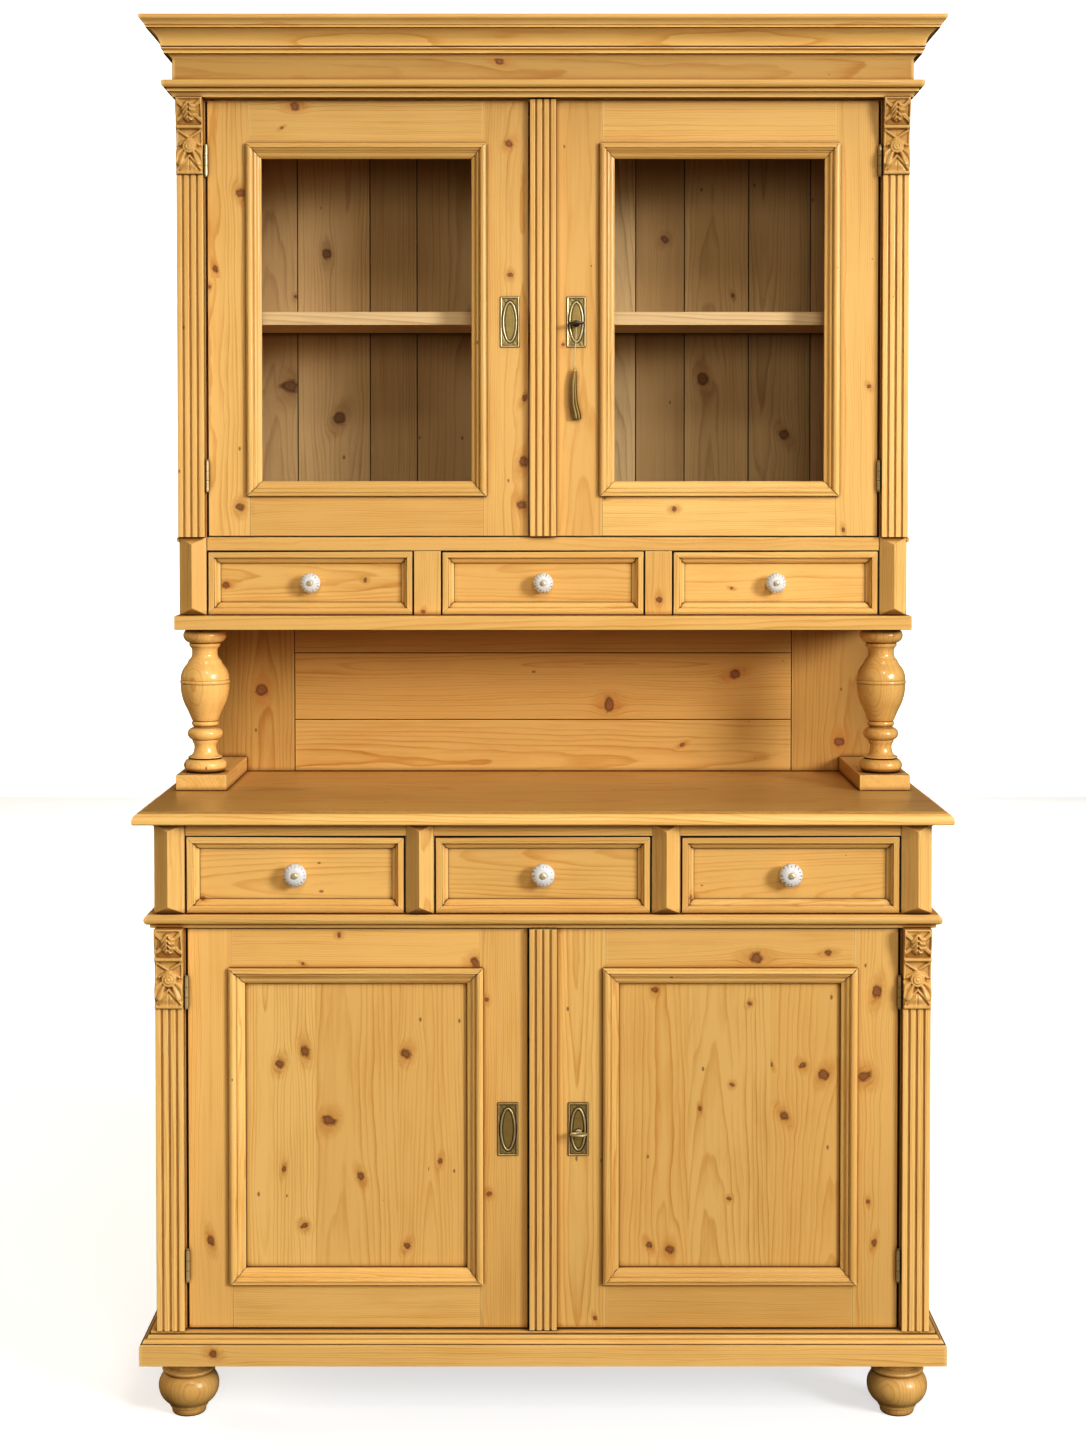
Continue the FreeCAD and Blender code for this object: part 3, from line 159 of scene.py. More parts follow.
def pine(name, early, late, knot, wax_and_shade, shade_and_dirt, gloss, coat=0.12):
    """Pine from a board's own coordinates: year rings, fibres, knots, worn edges with a painted highlight,
    wax, dirt and painted shade in the hollows, creases and gaps, and dust.
    """
    t = Shader(name)
    x, y, z = t.split(t.times(t.attribute("wood"), (1000.0, 1000.0, 1000.0)))[:3]
    kx, ky, kr = t.split(t.attribute("knot"))[:3]
    tone, warmth, pitch = t.split(t.attribute("board"))[:3]

    def figure(across, run_scale, cross_scale, *detail):
        """Noise that is drawn out along the grain."""
        spot = t.join_xyz(t.mul(x, run_scale), t.mul(across, cross_scale), t.mul(z, cross_scale))
        return t.noise(spot, 1.0, *detail)

    # Distance from the knot, in knot radii, drawn out along the grain
    along = t.mul(kx, 0.5)
    near = t.plus(t.mul(along, along), t.mul(ky, ky))
    flow = t.over(t.mul(ky, kr), t.math("MAXIMUM", near, 1.0))
    fade = t.over(1.0, t.scale(t.mul(near, near), 0.015, 1.0))
    bent = t.minus(y, t.mul(flow, fade))
    # Year rings round the pith
    slow = figure(bent, 0.0028, 0.015)
    quick = figure(bent, 0.012, 0.06)
    radius = t.math("SQRT", t.plus(t.mul(bent, bent), t.mul(z, z)))
    radius = t.plus(radius, t.scale(slow, 20.0, t.mul(quick, 3.5)))
    rings = t.over(radius, pitch)
    season = t.math("FRACT", rings)
    count = t.math("FLOOR", rings)
    year = t.add("ShaderNodeTexWhiteNoise", {"W": count}, noise_dimensions="1D").outputs["Value"]
    soft = t.mul(t.step(season, 0.1, 0.9), 0.45)
    line = t.mul(t.step(season, 0.62, 0.88), 0.55)
    ring = t.mul(t.plus(soft, line), t.rest(t.step(season, 0.9, 1.0)))
    ring = t.mul(ring, t.fit(year, 0.2, 1.0))
    # Fibres, streaks and cloudy tone
    fibre = figure(bent, 0.035, 1.1, 4.0, 0.65)
    streak = figure(bent, 0.006, 0.16, 3.0)
    cloud = figure(y, 0.006, 0.018, 2.0)
    dark = t.plus(t.mul(ring, 0.78), t.scale(fibre, 0.5, -0.25))
    dark = t.plus(dark, t.plus(t.scale(streak, 0.8, -0.4), t.scale(cloud, 0.8, -0.4)))
    colour = t.mix(t.clamp(dark), early, late)
    colour = t.mix(t.mul(warmth, 0.3), colour, dyed(early, 0.95, 0.78, 0.62))
    # A dark board is also a redder one
    shade = t.join_xyz(tone, t.math("POWER", tone, 1.15), t.math("POWER", tone, 1.45))
    colour = t.mix(1.0, colour, shade, "MULTIPLY")
    # The placed knot: orange halo, a dark and broken rim, rings round a brown heart
    wobble = t.noise(t.join_xyz(t.mul(kx, 1.3), t.mul(ky, 1.3), kr), 1.0, 2.0)
    reach = t.plus(t.math("SQRT", near), t.scale(wobble, 0.9, -0.45))
    halo = t.rest(t.step(reach, 0.4, 2.0))
    colour = t.mix(t.mul(halo, 0.5), colour, dyed(late, 0.86, 0.7, 0.55))
    side = t.plus(t.mul(kx, kx), t.mul(ky, ky))
    core = t.plus(t.math("SQRT", side), t.scale(wobble, 1.1, -0.55))
    inside = t.rest(t.step(core, 0.48, 1.1))
    rim = t.mul(t.step(core, 0.3, 0.62), t.rest(t.step(core, 0.62, 0.95)))
    circles = t.math("FRACT", t.mul(core, 4.1))
    heart = t.mix(circles, dyed(knot, 1.5, 1.4, 1.3), dyed(knot, 2.3, 2.3, 2.1))
    heart = t.mix(t.mul(rim, 0.7), heart, dyed(knot, 0.5, 0.42, 0.4))
    colour = t.mix(t.mul(inside, 0.9), colour, heart)
    # Pin knots here and there
    cell = t.join_xyz(t.over(x, 210.0), t.over(y, 60.0), t.over(z, 60.0))
    pins = t.add("ShaderNodeTexVoronoi", {"Vector": cell, "Scale": 1.0, "Randomness": 1.0})
    gone = t.add("ShaderNodeVectorMath", {0: cell, 1: pins.outputs["Position"]}, operation="SUBTRACT")
    gone = t.times(gone.outputs[0], (120.0, 60.0, 0.0))
    apart = t.add("ShaderNodeVectorMath", {0: gone}, operation="LENGTH").outputs["Value"]
    chance, grow = t.split(pins.outputs["Color"])[:2]
    pin = t.rest(t.step(t.over(apart, t.fit(grow, 0.8, 2.6)), 0.5, 1.2))
    pin = t.mul(pin, t.math("LESS_THAN", chance, 0.22))
    colour = t.mix(t.mul(pin, 0.7), colour, knot)
    # Edges worn pale with a painted highlight on them, old wax and painted shade in the hollows, painted
    # shade and dirt in the creases and gaps
    shelter = t.openness(0.011, 8)
    crease = t.openness(0.003, 8)
    edge = t.openness(0.004, 6, inside=True)
    # Convex edges made pale: wear, and a painted highlight along bead tops and arrises
    wear_and_highlight = t.mul(t.rest(t.step(edge, 0.4, 0.9)), t.fit(streak, 0.25, 0.75))
    wear_and_highlight = t.mul(wear_and_highlight, t.step(crease, 0.8, 1.0))
    colour = t.mix(wear_and_highlight, colour, dyed(early, 1.12, 1.2, 1.45))
    # Old wax and painted shade within 11 mm of a corner
    wax_and_shade_mask = t.rest(t.step(shelter, 0.45, 0.96))
    shade_and_dirt_mask = t.number("shade_and_dirt_mask")
    share = t.scale(t.math("MINIMUM", shade_and_dirt_mask, 0.0), 0.5, 0.9)
    colour = t.mix(t.mul(wax_and_shade_mask, share), colour, wax_and_shade)
    # Painted shade and dirt in creases within 3 mm, along gaps and on ledges
    crease_shade_and_dirt = t.scale(t.step(crease, 0.42, 0.86), -0.9, 0.9)
    colour = t.mix(t.plus(crease_shade_and_dirt, shade_and_dirt_mask), colour, shade_and_dirt)
    # Dull dust on top of the cornice
    dust = t.number("dust")
    colour = t.mix(t.mul(dust, t.fit(cloud, 0.4, 0.9)), colour, (0.4, 0.32, 0.21))
    rough = t.plus(t.fit(fibre, gloss - 0.08, gloss + 0.1), t.mul(wax_and_shade_mask, 0.2))
    height = t.minus(t.scale(ring, 0.35, t.mul(fibre, 0.6)), t.mul(rim, 0.8))
    return t.shade(height, 0.00018, **{
        "Base Color": colour, "Roughness": t.scale(dust, 0.5, rough),
        "Specular IOR Level": t.scale(dust, -0.38, 0.4), "Coat Weight": t.scale(dust, -coat, coat),
        "Coat Roughness": 0.16})


SCRATCHES = 0.12


def metal(name, bright, dull, rough):
    """Old metal: worn bright on top, golden in its fields, dull and dirty in its corners."""
    t = Shader(name)
    spot = t.spot()
    patch = t.noise(spot, 160.0, 4.0, 0.6)
    fine = t.noise(t.times(spot, (900.0, 900.0, 120.0)), 1.0, 3.0)
    clean = t.mul(t.step(t.openness(0.003, 8), 0.62, 0.97), t.fit(patch, 0.7, 1.2))
    # Dull in a plate's sunk lines, and along its edge as painted shadow
    recess_and_edge_shadow = t.number("recess_and_edge_shadow")
    clean = t.mul(clean, t.rest(t.step(recess_and_edge_shadow, 0.5, 1.0)))
    field = t.mix(t.step(recess_and_edge_shadow, 0.0, 0.5), bright, dyed(bright, 0.68, 0.58, 0.34))
    colour = t.mix(t.math("MINIMUM", clean, 1.0), dull, field)
    level = t.plus(t.scale(fine, SCRATCHES, rough - SCRATCHES / 2), t.scale(clean, -0.15, 0.15))
    return t.shade(t.scale(patch, 0.5, t.mul(fine, 0.3)), 0.0001, **{
        "Base Color": colour, "Metallic": 0.55, "Roughness": level})


def porcelain():
    """White glaze, darkened in the flutes by painted shade with some grime, and faintly specked."""
    t = Shader("porcelain")
    spot = t.spot()
    stain = t.noise(spot, 420.0, 3.0)
    # Painted shade, with some grime, in the flutes
    flute_shade_and_grime = t.mul(t.step(t.number("groove"), 0.15, 0.8), t.step(stain, 0.42, 0.62))
    speck = t.step(t.noise(spot, 700.0, 2.0), 0.66, 0.74)
    colour = t.mix(t.mul(speck, 0.25), (0.86, 0.86, 0.84), (0.5, 0.48, 0.45))
    colour = t.mix(t.mul(flute_shade_and_grime, 0.9), colour, (0.16, 0.15, 0.15))
    return t.shade(t.mul(stain, 0.4), 0.00006, **{
        "Base Color": colour, "Roughness": 0.14, "Coat Weight": 0.5, "Coat Roughness": 0.05})


def thread(name, pale, deep):
    """Spun thread: each strand its own tone, with a fine twist along it."""
    t = Shader(name)
    spot = t.spot()
    lay = t.times(spot, (700.0, 300.0, 1100.0))
    twist = t.add(
        "ShaderNodeTexWave", {"Vector": lay, "Scale": 1.0, "Distortion": 1.5}, bands_direction="DIAGONAL")
    fray = t.noise(spot, 900.0, 3.0)
    share = t.plus(t.mul(t.number("tone"), 0.9), t.scale(fray, 0.3, -0.12))
    colour = t.mix(t.clamp(share), deep, pale)
    return t.shade(t.plus(twist.outputs["Fac"], fray), 0.00012, **{
        "Base Color": colour, "Roughness": 0.7, "Sheen Weight": 0.04, "Sheen Roughness": 0.4,
        "Specular IOR Level": 0.2})


def clear_glass():
    """Old window glass: mostly see-through, with a faint waved shine."""
    t = Shader("old_glass")
    wave = t.noise(t.spot(), 9.0, 1.0)
    bump = t.add("ShaderNodeBump", {"Height": wave, "Distance": 0.0006, "Strength": 1.0}).outputs[0]
    through = t.add("ShaderNodeBsdfTransparent", {"Color": (0.96, 0.965, 0.95, 1.0)})
    shine = t.add("ShaderNodeBsdfGlossy", {
        "Color": (0.95, 0.97, 0.96, 1.0), "Roughness": 0.06, "Normal": bump})
    both = t.add("ShaderNodeMixShader", {0: 0.01, 1: through.outputs[0], 2: shine.outputs[0]})
    t.add("ShaderNodeOutputMaterial", {"Surface": both.outputs[0]})
    return t.owner


# Early wood, late wood, knot, wax with painted shade, and painted shade with dirt
PINE_COLOURS = (
    (0.85, 0.575, 0.215), (0.64, 0.32, 0.07), (0.17, 0.07, 0.03), (0.34, 0.145, 0.022), (0.04, 0.014, 0.004))
WAXED = pine("waxed_pine", *PINE_COLOURS, 0.34)
POLISHED = pine("polished_pine", *PINE_COLOURS, 0.27, 0.5)
# Unwaxed pine for the insides, with darker, greyer colours that paint part of the shade inside the cupboards
BARE_PINE_WITH_PAINTED_SHADE = pine("bare_pine_painted_shade", (0.64, 0.46, 0.25), (0.40, 0.262, 0.125), (0.12, 0.058, 0.03), (0.2, 0.12, 0.055),
            (0.03, 0.015, 0.008), 0.6, 0.0)
BRASS = metal("old_brass", (0.96, 0.86, 0.56), (0.06, 0.04, 0.014), 0.36)
STEEL = metal("worn_steel", (0.62, 0.58, 0.50), (0.10, 0.08, 0.06), 0.36)
DARK_BRASS = metal("dark_brass", (0.72, 0.6, 0.34), (0.045, 0.03, 0.011), 0.38)
BLACKED = metal("blacked_steel", (0.16, 0.13, 0.10), (0.03, 0.025, 0.02), 0.4)
GLASS = clear_glass()
PORCELAIN = porcelain()
THREAD = thread("tassel_thread", (0.95, 0.7, 0.27), (0.1, 0.048, 0.008))
CORD = thread("cord_thread", (0.97, 0.9, 0.62), (0.9, 0.77, 0.44))


# Wood pieces from the CAD's solids

# Width of the boards that a wide piece is glued up from
STAVES = {
    "worktop": 0.118, "base_side_panels": 0.112, "upper_side_panels": 0.105, "base_left_panel": 0.124,
    "base_right_panel": 0.124, "base_floor": 0.12, "base_shelf": 0.115, "upper_decks": 0.11,
    "upper_base_board": 0.145}
INSIDE = (
    "base_back_boards", "upper_back_boards", "base_shelf", "upper_decks", "drawer_runners", "base_floor",
    "upper_shelf")
# Knots seen from the front: x, z and radius in millimetres
KNOTS = {
    "frieze_boards": [(-69, 2068, 8)],
    "upper_left_door_frame": [
        (-391, 2001, 9), (-412, 1967, 3), (-477, 1865, 9), (-518, 1745, 6), (-528, 1717, 4), (-52, 1736, 5),
        (-29, 1542, 6), (-30, 1441, 10), (-34, 1373, 9), (-480, 1369, 8), (-54, 1942, 7)],
    "upper_right_door_frame": [(97, 1384, 4), (208, 1366, 5), (476, 1333, 4), (32, 1626, 3), (516, 1560, 4)],
    "upper_back_boards": [
        (-364, 1794, 10), (-416, 1722, 4), (-425, 1572, 17), (-343, 1518, 13), (205, 1818, 8),
        (270, 1584, 13), (407, 1490, 10), (320, 1724, 4)],
    "upper_left_drawer": [(-283, 1253, 4), (-505, 1245, 7)],
    "upper_right_drawer": [(300, 1240, 3)],
    "upper_front_frame": [(-190, 1203, 4), (184, 1222, 6)],
    "niche_back_panel": [(-476, 1058, 13), (325, 1085, 10), (112, 1034, 13), (502, 970, 10), (236, 965, 5)],
    "base_left_door_frame": [
        (-304, 733, 4), (-100, 690, 10), (-84, 636, 4), (-81, 344, 5), (-497, 273, 8), (-358, 690, 3)],
    "base_right_door_frame": [
        (425, 706, 6), (318, 699, 11), (498, 648, 10), (486, 332, 4), (495, 270, 6), (78, 156, 4),
        (480, 521, 11)],
    "base_left_panel": [
        (-356, 557, 9), (-205, 553, 9), (-394, 537, 8), (-320, 452, 11), (-154, 391, 5), (-388, 379, 5),
        (-273, 368, 7), (-358, 293, 6), (-204, 263, 6)],
    "base_right_panel": [
        (341, 537, 4), (283, 506, 4), (235, 470, 4), (361, 459, 8), (279, 334, 4), (159, 264, 6),
        (190, 257, 8), (309, 628, 4), (167, 649, 6), (388, 535, 6), (420, 521, 10)],
    "base_left_drawer": [(-508, 786, 4)],
    "base_right_drawer": [(221, 788, 4)],
    "plinth_moulding": [(-491, 111, 7)],
}
NO_KNOT = (60.0, 60.0, 1.0)
KNOT_TILT = (-0.6, 0.6)
KNOT_LENGTH = (0.75, 1.25)
KNOTS_PER_AREA = 12
NARROW = 0.085
# How light or dark each group of boards is, and how much its boards differ
TONE = {
    # The frieze's low tone is painted shade under the cornice
    "frieze_boards": 0.68, "architrave_moulding": 0.9, "bun_feet": 0.94, "niche_back_panel": 0.84,
    "worktop": 0.82, "upper_shelf": 1.6, "fluted_pilasters": 1.16, "turned_columns": 1.14,
    "upper_left_door_frame": 1.05, "upper_right_door_frame": 1.08, "upper_left_drawer": 1.02,
    "upper_middle_drawer": 1.02, "upper_right_drawer": 1.04, "base_left_panel": 1.03,
    "base_right_door_frame": 0.95, "base_left_door_frame": 1.03, "upper_meeting_strip": 1.1,
    "base_meeting_strip": 1.08, "base_left_drawer": 1.08, "base_right_drawer": 0.94}
SPREAD = {
    "upper_back_boards": (0.72, 1.1), "base_back_boards": (0.7, 1.1), "base_left_panel": (0.9, 1.06),
    "base_right_panel": (0.92, 1.06), "base_side_panels": (0.88, 1.06), "upper_side_panels": (0.88, 1.06)}
USUAL_SPREAD = (0.93, 1.05)
# More or less painted shade and dirt in the hollows than elsewhere
SHADE_AND_DIRT_SHIFT = {
    "fluted_pilasters": -0.9, "upper_meeting_strip": -0.8, "base_meeting_strip": -0.8,
    "carved_corbels": -0.3, "faceted_blocks": -0.4}
# How strongly the narrow ledges of mouldings get painted shade with some dirt
LEDGE_SHADE_AND_DIRT = 0.8
# Width of a softened edge, and of the edges along a gap with their painted shade of the gap and some dirt
USUAL_SOFTNESS = 0.0007
SOFTNESS = {"niche_back_panel": 0.0013, "upper_back_boards": 0.0014, "base_back_boards": 0.0014}
GAP_EDGES = {"door_frame": (0.0009, 0.75), "drawer": (0.0016, 0.95)}
METAL_SOFTNESS = 0.0004
# The worktop's front and ends made lighter: a painted highlight
FRONT_HIGHLIGHT_TONE = 1.35
# Single boards that differ from their group, some by painted light and shade: x and z that hold the board's
# middle, in millimetres, and tone
BOARD_TONE = {
    "turned_columns": [((0, 600), (900, 1200), 0.87)],
    # The right stile lighter: a painted highlight where the light falls strongest
    "upper_right_door_frame": [((0, 600), (1950, 2020), 1.05), ((440, 600), (1300, 1900), 1.05)],
    "base_left_door_frame": [
        ((-600, -440), (140, 745), 1.08), ((-130, 0), (140, 745), 0.97), ((-440, -130), (140, 260), 1.1)],
    # The top plank darker: painted shade under the upper board; the side stiles darker too
    "niche_back_panel": [
        ((-400, 400), (1121, 1200), 0.88), ((-600, -400), (900, 1200), 0.9), ((400, 600), (900, 1200), 0.86)],
}
# Painted shade by height: the upper doors, strip, pilasters and corbels grow darker towards the cornice as if
# in its shade, and the base doors are darker towards the plinth than at mid height: height in metres and tone
CORNICE_SHADE = (
    (1.55, 1.0), (1.72, 0.965), (1.82, 0.92), (1.9, 0.87), (1.95, 0.825), (1.985, 0.78), (2.02, 0.735))
PLINTH_SHADE = ((0.14, 0.94), (0.3, 0.98), (0.5, 1.05), (0.75, 1.06))
HEIGHT_SHADE = {
    "upper_left_door_frame": CORNICE_SHADE, "upper_right_door_frame": CORNICE_SHADE, "upper_meeting_strip": CORNICE_SHADE,
    "fluted_pilasters": CORNICE_SHADE, "carved_corbels": CORNICE_SHADE, "base_left_door_frame": PLINTH_SHADE,
    "base_right_door_frame": PLINTH_SHADE}
NO_HEIGHT_SHADE = ((0, 1.0), (1, 1.0))
SHARP = radians(34)
LEDGE_WIDTH = 0.0045
DUST_DEPTH = 0.003
# Depth behind the front, and distance from a gap, within which an edge belongs to it
FRONT_DEPTH = 0.004
AT_GAP = 0.0002


def ramp(low, high, value):
    """0 below low, 1 above high and smooth between them."""
    share = min(max((value - low) / (high - low), 0.0), 1.0)
    return share * share * (3 - 2 * share)


def between(table, value, smooth=False):
    """The second number of a table's rows for a value of the first, in straight or smooth steps."""
    for (low, first), (high, second) in zip(table, table[1:]):
        if value <= high:
            straight = max(0.0, (value - low) / (high - low))
            return first + (second - first) * (ramp(low, high, value) if smooth else straight)
    return table[-1][1]


def solids(node):
    """The separate solids of a CAD node, each as a bmesh with its flat faces whole."""
    whole = bmesh.new()
    whole.from_mesh(nodes[node].data)
    bmesh.ops.remove_doubles(whole, verts=whole.verts, dist=1e-6)
    left = dict.fromkeys(whole.faces)
    found = []
    while left:
        todo = [left.popitem()[0]]
        group = []
        while todo:
            face = todo.pop()
            group.append(face)
            for edge in face.edges:
                for other in edge.link_faces:
                    if other in left:
                        del left[other]
                        todo.append(other)
        part = bmesh.new()
        copies = {}
        for face in group:
            for vert in face.verts:
                if vert not in copies:
                    copies[vert] = part.verts.new(vert.co)
            part.faces.new([copies[vert] for vert in face.verts])
        bmesh.ops.dissolve_limit(part, angle_limit=radians(0.6), verts=part.verts, edges=part.edges)
        found.append(part)
    whole.free()
    found.sort(key=lambda part: tuple(round(c, 4) for c in limits(part)[0]))
    return found


def limits(part):
    """Lowest and highest corner of a bmesh."""
    low = Vector(min(v.co[i] for v in part.verts) for i in range(3))
    high = Vector(max(v.co[i] for v in part.verts) for i in range(3))
    return low, high


def bevel(part, edges, width, segments):
    """Rounds edges and returns the new faces."""
    new = bmesh.ops.bevel(part, geom=edges, offset=width, offset_type="OFFSET", segments=segments,
                          profile=0.5, affect="EDGES", clamp_overlap=True)
    return new["faces"]


def soften(part, width):
    """Takes the sharpness off the outer edges."""
    sharp = [e for e in part.edges if e.is_manifold and e.is_convex and e.calc_face_angle(0) > SHARP]
    if sharp:
        bevel(part, sharp, width, 1)


def soften_outline(part, box, width, shade_and_dirt):
    """Rounds the front edges of a door or drawer where they stand along its gap, and marks the rounded faces
    for painted shade and dirt.
    """
    front = limits(part)[0].y + FRONT_DEPTH
    edges = []
    for edge in part.edges:
        first, second = (v.co for v in edge.verts)
        along_gap = any(max(abs(first[i] - side[i]), abs(second[i] - side[i])) < AT_GAP
                        for i in (0, 2) for side in box)
        if along_gap and max(first.y, second.y) < front and edge.is_manifold and edge.is_convex:
            edges.append(edge)
    # The rounded faces get the painted shade of the gap, with some dirt
    shade_and_dirt_mask = part.faces.layers.float.new("shade_and_dirt_mask")
    for face in bevel(part, edges, width, 2):
        face[shade_and_dirt_mask] = shade_and_dirt


def paint_ledge_shade_and_dirt(part, shade_and_dirt):
    """Paints shade, with some dirt, on the narrow level ledges of a moulding."""
    shade_and_dirt_mask = part.faces.layers.float.new("shade_and_dirt_mask")
    for face in part.faces:
        depth = min(max(v.co[i] for v in face.verts) - min(v.co[i] for v in face.verts) for i in (0, 1))
        if abs(face.normal.z) > 0.93 and depth < LEDGE_WIDTH:
            face[shade_and_dirt_mask] = shade_and_dirt


def dust_top(part):
    """Marks the faces that lie open to the dust from above."""
    dust = part.faces.layers.float.new("dust")
    top = limits(part)[1].z - DUST_DEPTH
    for face in part.faces:
        if face.normal.z > 0.9 and face.calc_center_median().z > top:
            face[dust] = 1.0


def slice_at(part, axis, levels, clear=False):
    """Cuts faces along planes square to an axis; clear takes away what lies below."""
    normal = Vector((0, 0, 0))
    normal[axis] = 1
    for level in levels:
        geometry = part.verts[:] + part.edges[:] + part.faces[:]
        bmesh.ops.bisect_plane(
            part, geom=geometry, dist=1e-7, plane_co=normal * level, plane_no=normal, clear_inner=clear)


def knot_cells(knots):
    """Parts a board between its knots at the widest gaps, until each cell has one knot."""
    if len(knots) < 2:
        return {"knot": knots[0] if knots else None}
    best = {"gap": -1.0}
    for axis, weight in ((0, 1.0), (1, 2.0)):
        row = sorted(knots, key=lambda k: k[axis])
        for i in range(1, len(row)):
            gap = (row[i][axis] - row[i - 1][axis]) * weight
            if gap > best["gap"]:
                best = {"gap": gap, "axis": axis, "split": (row[:i], row[i:]),
                        "cut": (row[i][axis] + row[i - 1][axis]) / 2}
    best["below"], best["above"] = (knot_cells(half) for half in best["split"])
    return best


def knot_cuts(cells, axis):
    """Every cut of the cells along one axis."""
    if "knot" in cells:
        return []
    own = [cells["cut"]] if cells["axis"] == axis else []
    return own + knot_cuts(cells["below"], axis) + knot_cuts(cells["above"], axis)


def knot_at(cells, spot):
    """The knot of the cell that holds a spot."""
    while "knot" not in cells:
        cells = cells["above"] if spot[cells["axis"]] > cells["cut"] else cells["below"]
    return cells["knot"]


def knot_place(along, across, radius, tilt, length):
    """A place in the knot's own radii, turned and drawn out as the knot is, and its radius in millimetres."""
    x = (along * cos(tilt) + across * sin(tilt)) / (radius * length)
    y = (across * cos(tilt) - along * sin(tilt)) * length / radius
    return x, y, radius / MM


def grain(part, node, number):
    """Gives every face corner its place in the board, its nearest knot and its board's tone, which holds
    painted shade by height on some pieces.
    """
    low, high = limits(part)
    size = high - low
    knots, stave = KNOTS.get(node, ()), STAVES.get(node)
    run, across, through = sorted(range(3), key=lambda i: -size[i])
    draw = random.Random(f"{node} {number}")
    middle_x, middle_z = (low.x + high.x) / 2 / MM, (low.z + high.z) / 2 / MM
    tone = TONE.get(node, 1.0)
    for (left, right), (bottom, top), factor in BOARD_TONE.get(node, ()):
        if left < middle_x < right and bottom < middle_z < top:
            tone *= factor
    count = max(1, round(size[across] / stave)) if stave else 1
    borders = [low[across] + size[across] * i / count for i in range(count + 1)]
    seams = borders[1:-1]
    placed = []
    for knot_x, knot_z, knot_radius in knots:
        spot = Vector((knot_x * MM, 0, knot_z * MM))
        if all(low[i] - 0.002 <= spot[i] <= high[i] + 0.002 for i in (0, 2)) and through != 0:
            tilt, length = draw.uniform(*KNOT_TILT), draw.uniform(*KNOT_LENGTH)
            placed.append((spot[run], spot[across], knot_radius * MM, tilt, length))
    if not knots:
        for _ in range(int(size[run] * size[across] * KNOTS_PER_AREA * draw.random())):
            placed.append((draw.uniform(low[run], high[run]), draw.uniform(low[across], high[across]),
                           draw.uniform(3, 9) * MM, draw.uniform(*KNOT_TILT), draw.uniform(*KNOT_LENGTH)))
    # A narrow board is cut beside the tree's heart and has straight grain, a wide one has arches
    if size[across] < NARROW:
        heart, lean, spacing = 0.09, 0.012, (2.2, 4.2)
    else:
        heart, lean, spacing = 0.35 * size[across] / count, 0.05, (3.4, 6.5)
    staves = []
    for bottom, top in zip(borders, borders[1:]):
        own = sorted(k for k in placed if bottom <= k[1] <= top or count == 1)
        shift = Vector((draw.uniform(-3, 3), draw.choice((-1, 1)) * heart * draw.uniform(0.3, 1),
                        draw.uniform(0.01, 0.05)))
        slope = lean * draw.uniform(0.2, 1) * draw.choice((-1, 1))
        look = Vector((tone * draw.uniform(*SPREAD.get(node, USUAL_SPREAD)), draw.random(),
                       draw.uniform(*spacing)))
        staves.append((knot_cells(own), (bottom + top) / 2, shift, slope, look))
    slice_at(part, across, seams)
    height_shade = HEIGHT_SHADE.get(node, NO_HEIGHT_SHADE)
    if node in HEIGHT_SHADE and node != "carved_corbels":
        slice_at(part, 2, [level for level, _ in height_shade])
    for axis, direction in enumerate((run, across)):
        slice_at(part, direction, sorted({cut for cells, *_ in staves for cut in knot_cuts(cells, axis)}))
    shade_and_dirt_mask = part.faces.layers.float.get("shade_and_dirt_mask") or part.faces.layers.float.new("shade_and_dirt_mask")
    wood = part.loops.layers.float_vector.new("wood")
    knot = part.loops.layers.float_vector.new("knot")
    board = part.loops.layers.float_vector.new("board")
    for face in part.faces:
        # Each group's shift of painted shade and dirt
        face[shade_and_dirt_mask] += SHADE_AND_DIRT_SHIFT.get(node, 0.0)
        centre = face.calc_center_median()
        cells, middle, shift, slope, look = staves[sum(centre[across] > seam for seam in seams)]
        near = knot_at(cells, (centre[run], centre[across]))
        for loop in face.loops:
            co = loop.vert.co
            loop[wood] = (co[run] + shift.x, co[across] - middle + shift.y,
                          co[through] - low[through] + shift.z + (co[run] - low[run]) * slope)
            # The board's tone times the painted shade for its height
            loop[board] = (look.x * between(height_shade, co.z), look.y, look.z)
            loop[knot] = NO_KNOT
            if near:
                loop[knot] = knot_place(co[run] - near[0], co[across] - near[1], *near[2:])


def linked(name, data):
    """A new object in the scene."""
    thing = bpy.data.objects.new(name, data)
    scene.collection.objects.link(thing)
    return thing


def finish(part, name, material, smooth_angle, node):
    """A placed mesh object from a bmesh, smooth but for its sharp edges."""
    mesh = bpy.data.meshes.new(name)
    bmesh.ops.recalc_face_normals(part, faces=part.faces)
    part.to_mesh(mesh)
    part.free()
    mesh.polygons.foreach_set("use_smooth", [True] * len(mesh.polygons))
    mesh.set_sharp_from_angle(angle=radians(smooth_angle))
    mesh.materials.append(material)
    piece = linked(name, mesh)
    weigh = piece.modifiers.new("weigh", "WEIGHTED_NORMAL")
    weigh.keep_sharp = True
    return place(piece, node)


def merged(parts):
    """One bmesh out of several that have the same layers."""
    whole = bmesh.new()
    mesh = bpy.data.meshes.new("carry")
    for part in parts:
        part.to_mesh(mesh)
        part.free()
        whole.from_mesh(mesh)
    bpy.data.meshes.remove(mesh)
    return whole


def place(piece, node):
    """Lets a piece ride with a CAD node's body, in the node's stead."""
    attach(piece, body_of[node])
    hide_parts(node)
    return piece


def paint_front_highlight(part, factor):
    """The front and end faces made lighter: a painted highlight on the worktop's rounded nose."""
    board = part.loops.layers.float_vector["board"]
    for face in part.faces:
        if face.normal.y < -0.3 or abs(face.normal.x) > 0.3:
            for loop in face.loops:
                loop[board] = (loop[board].x * factor, loop[board].y, loop[board].z)


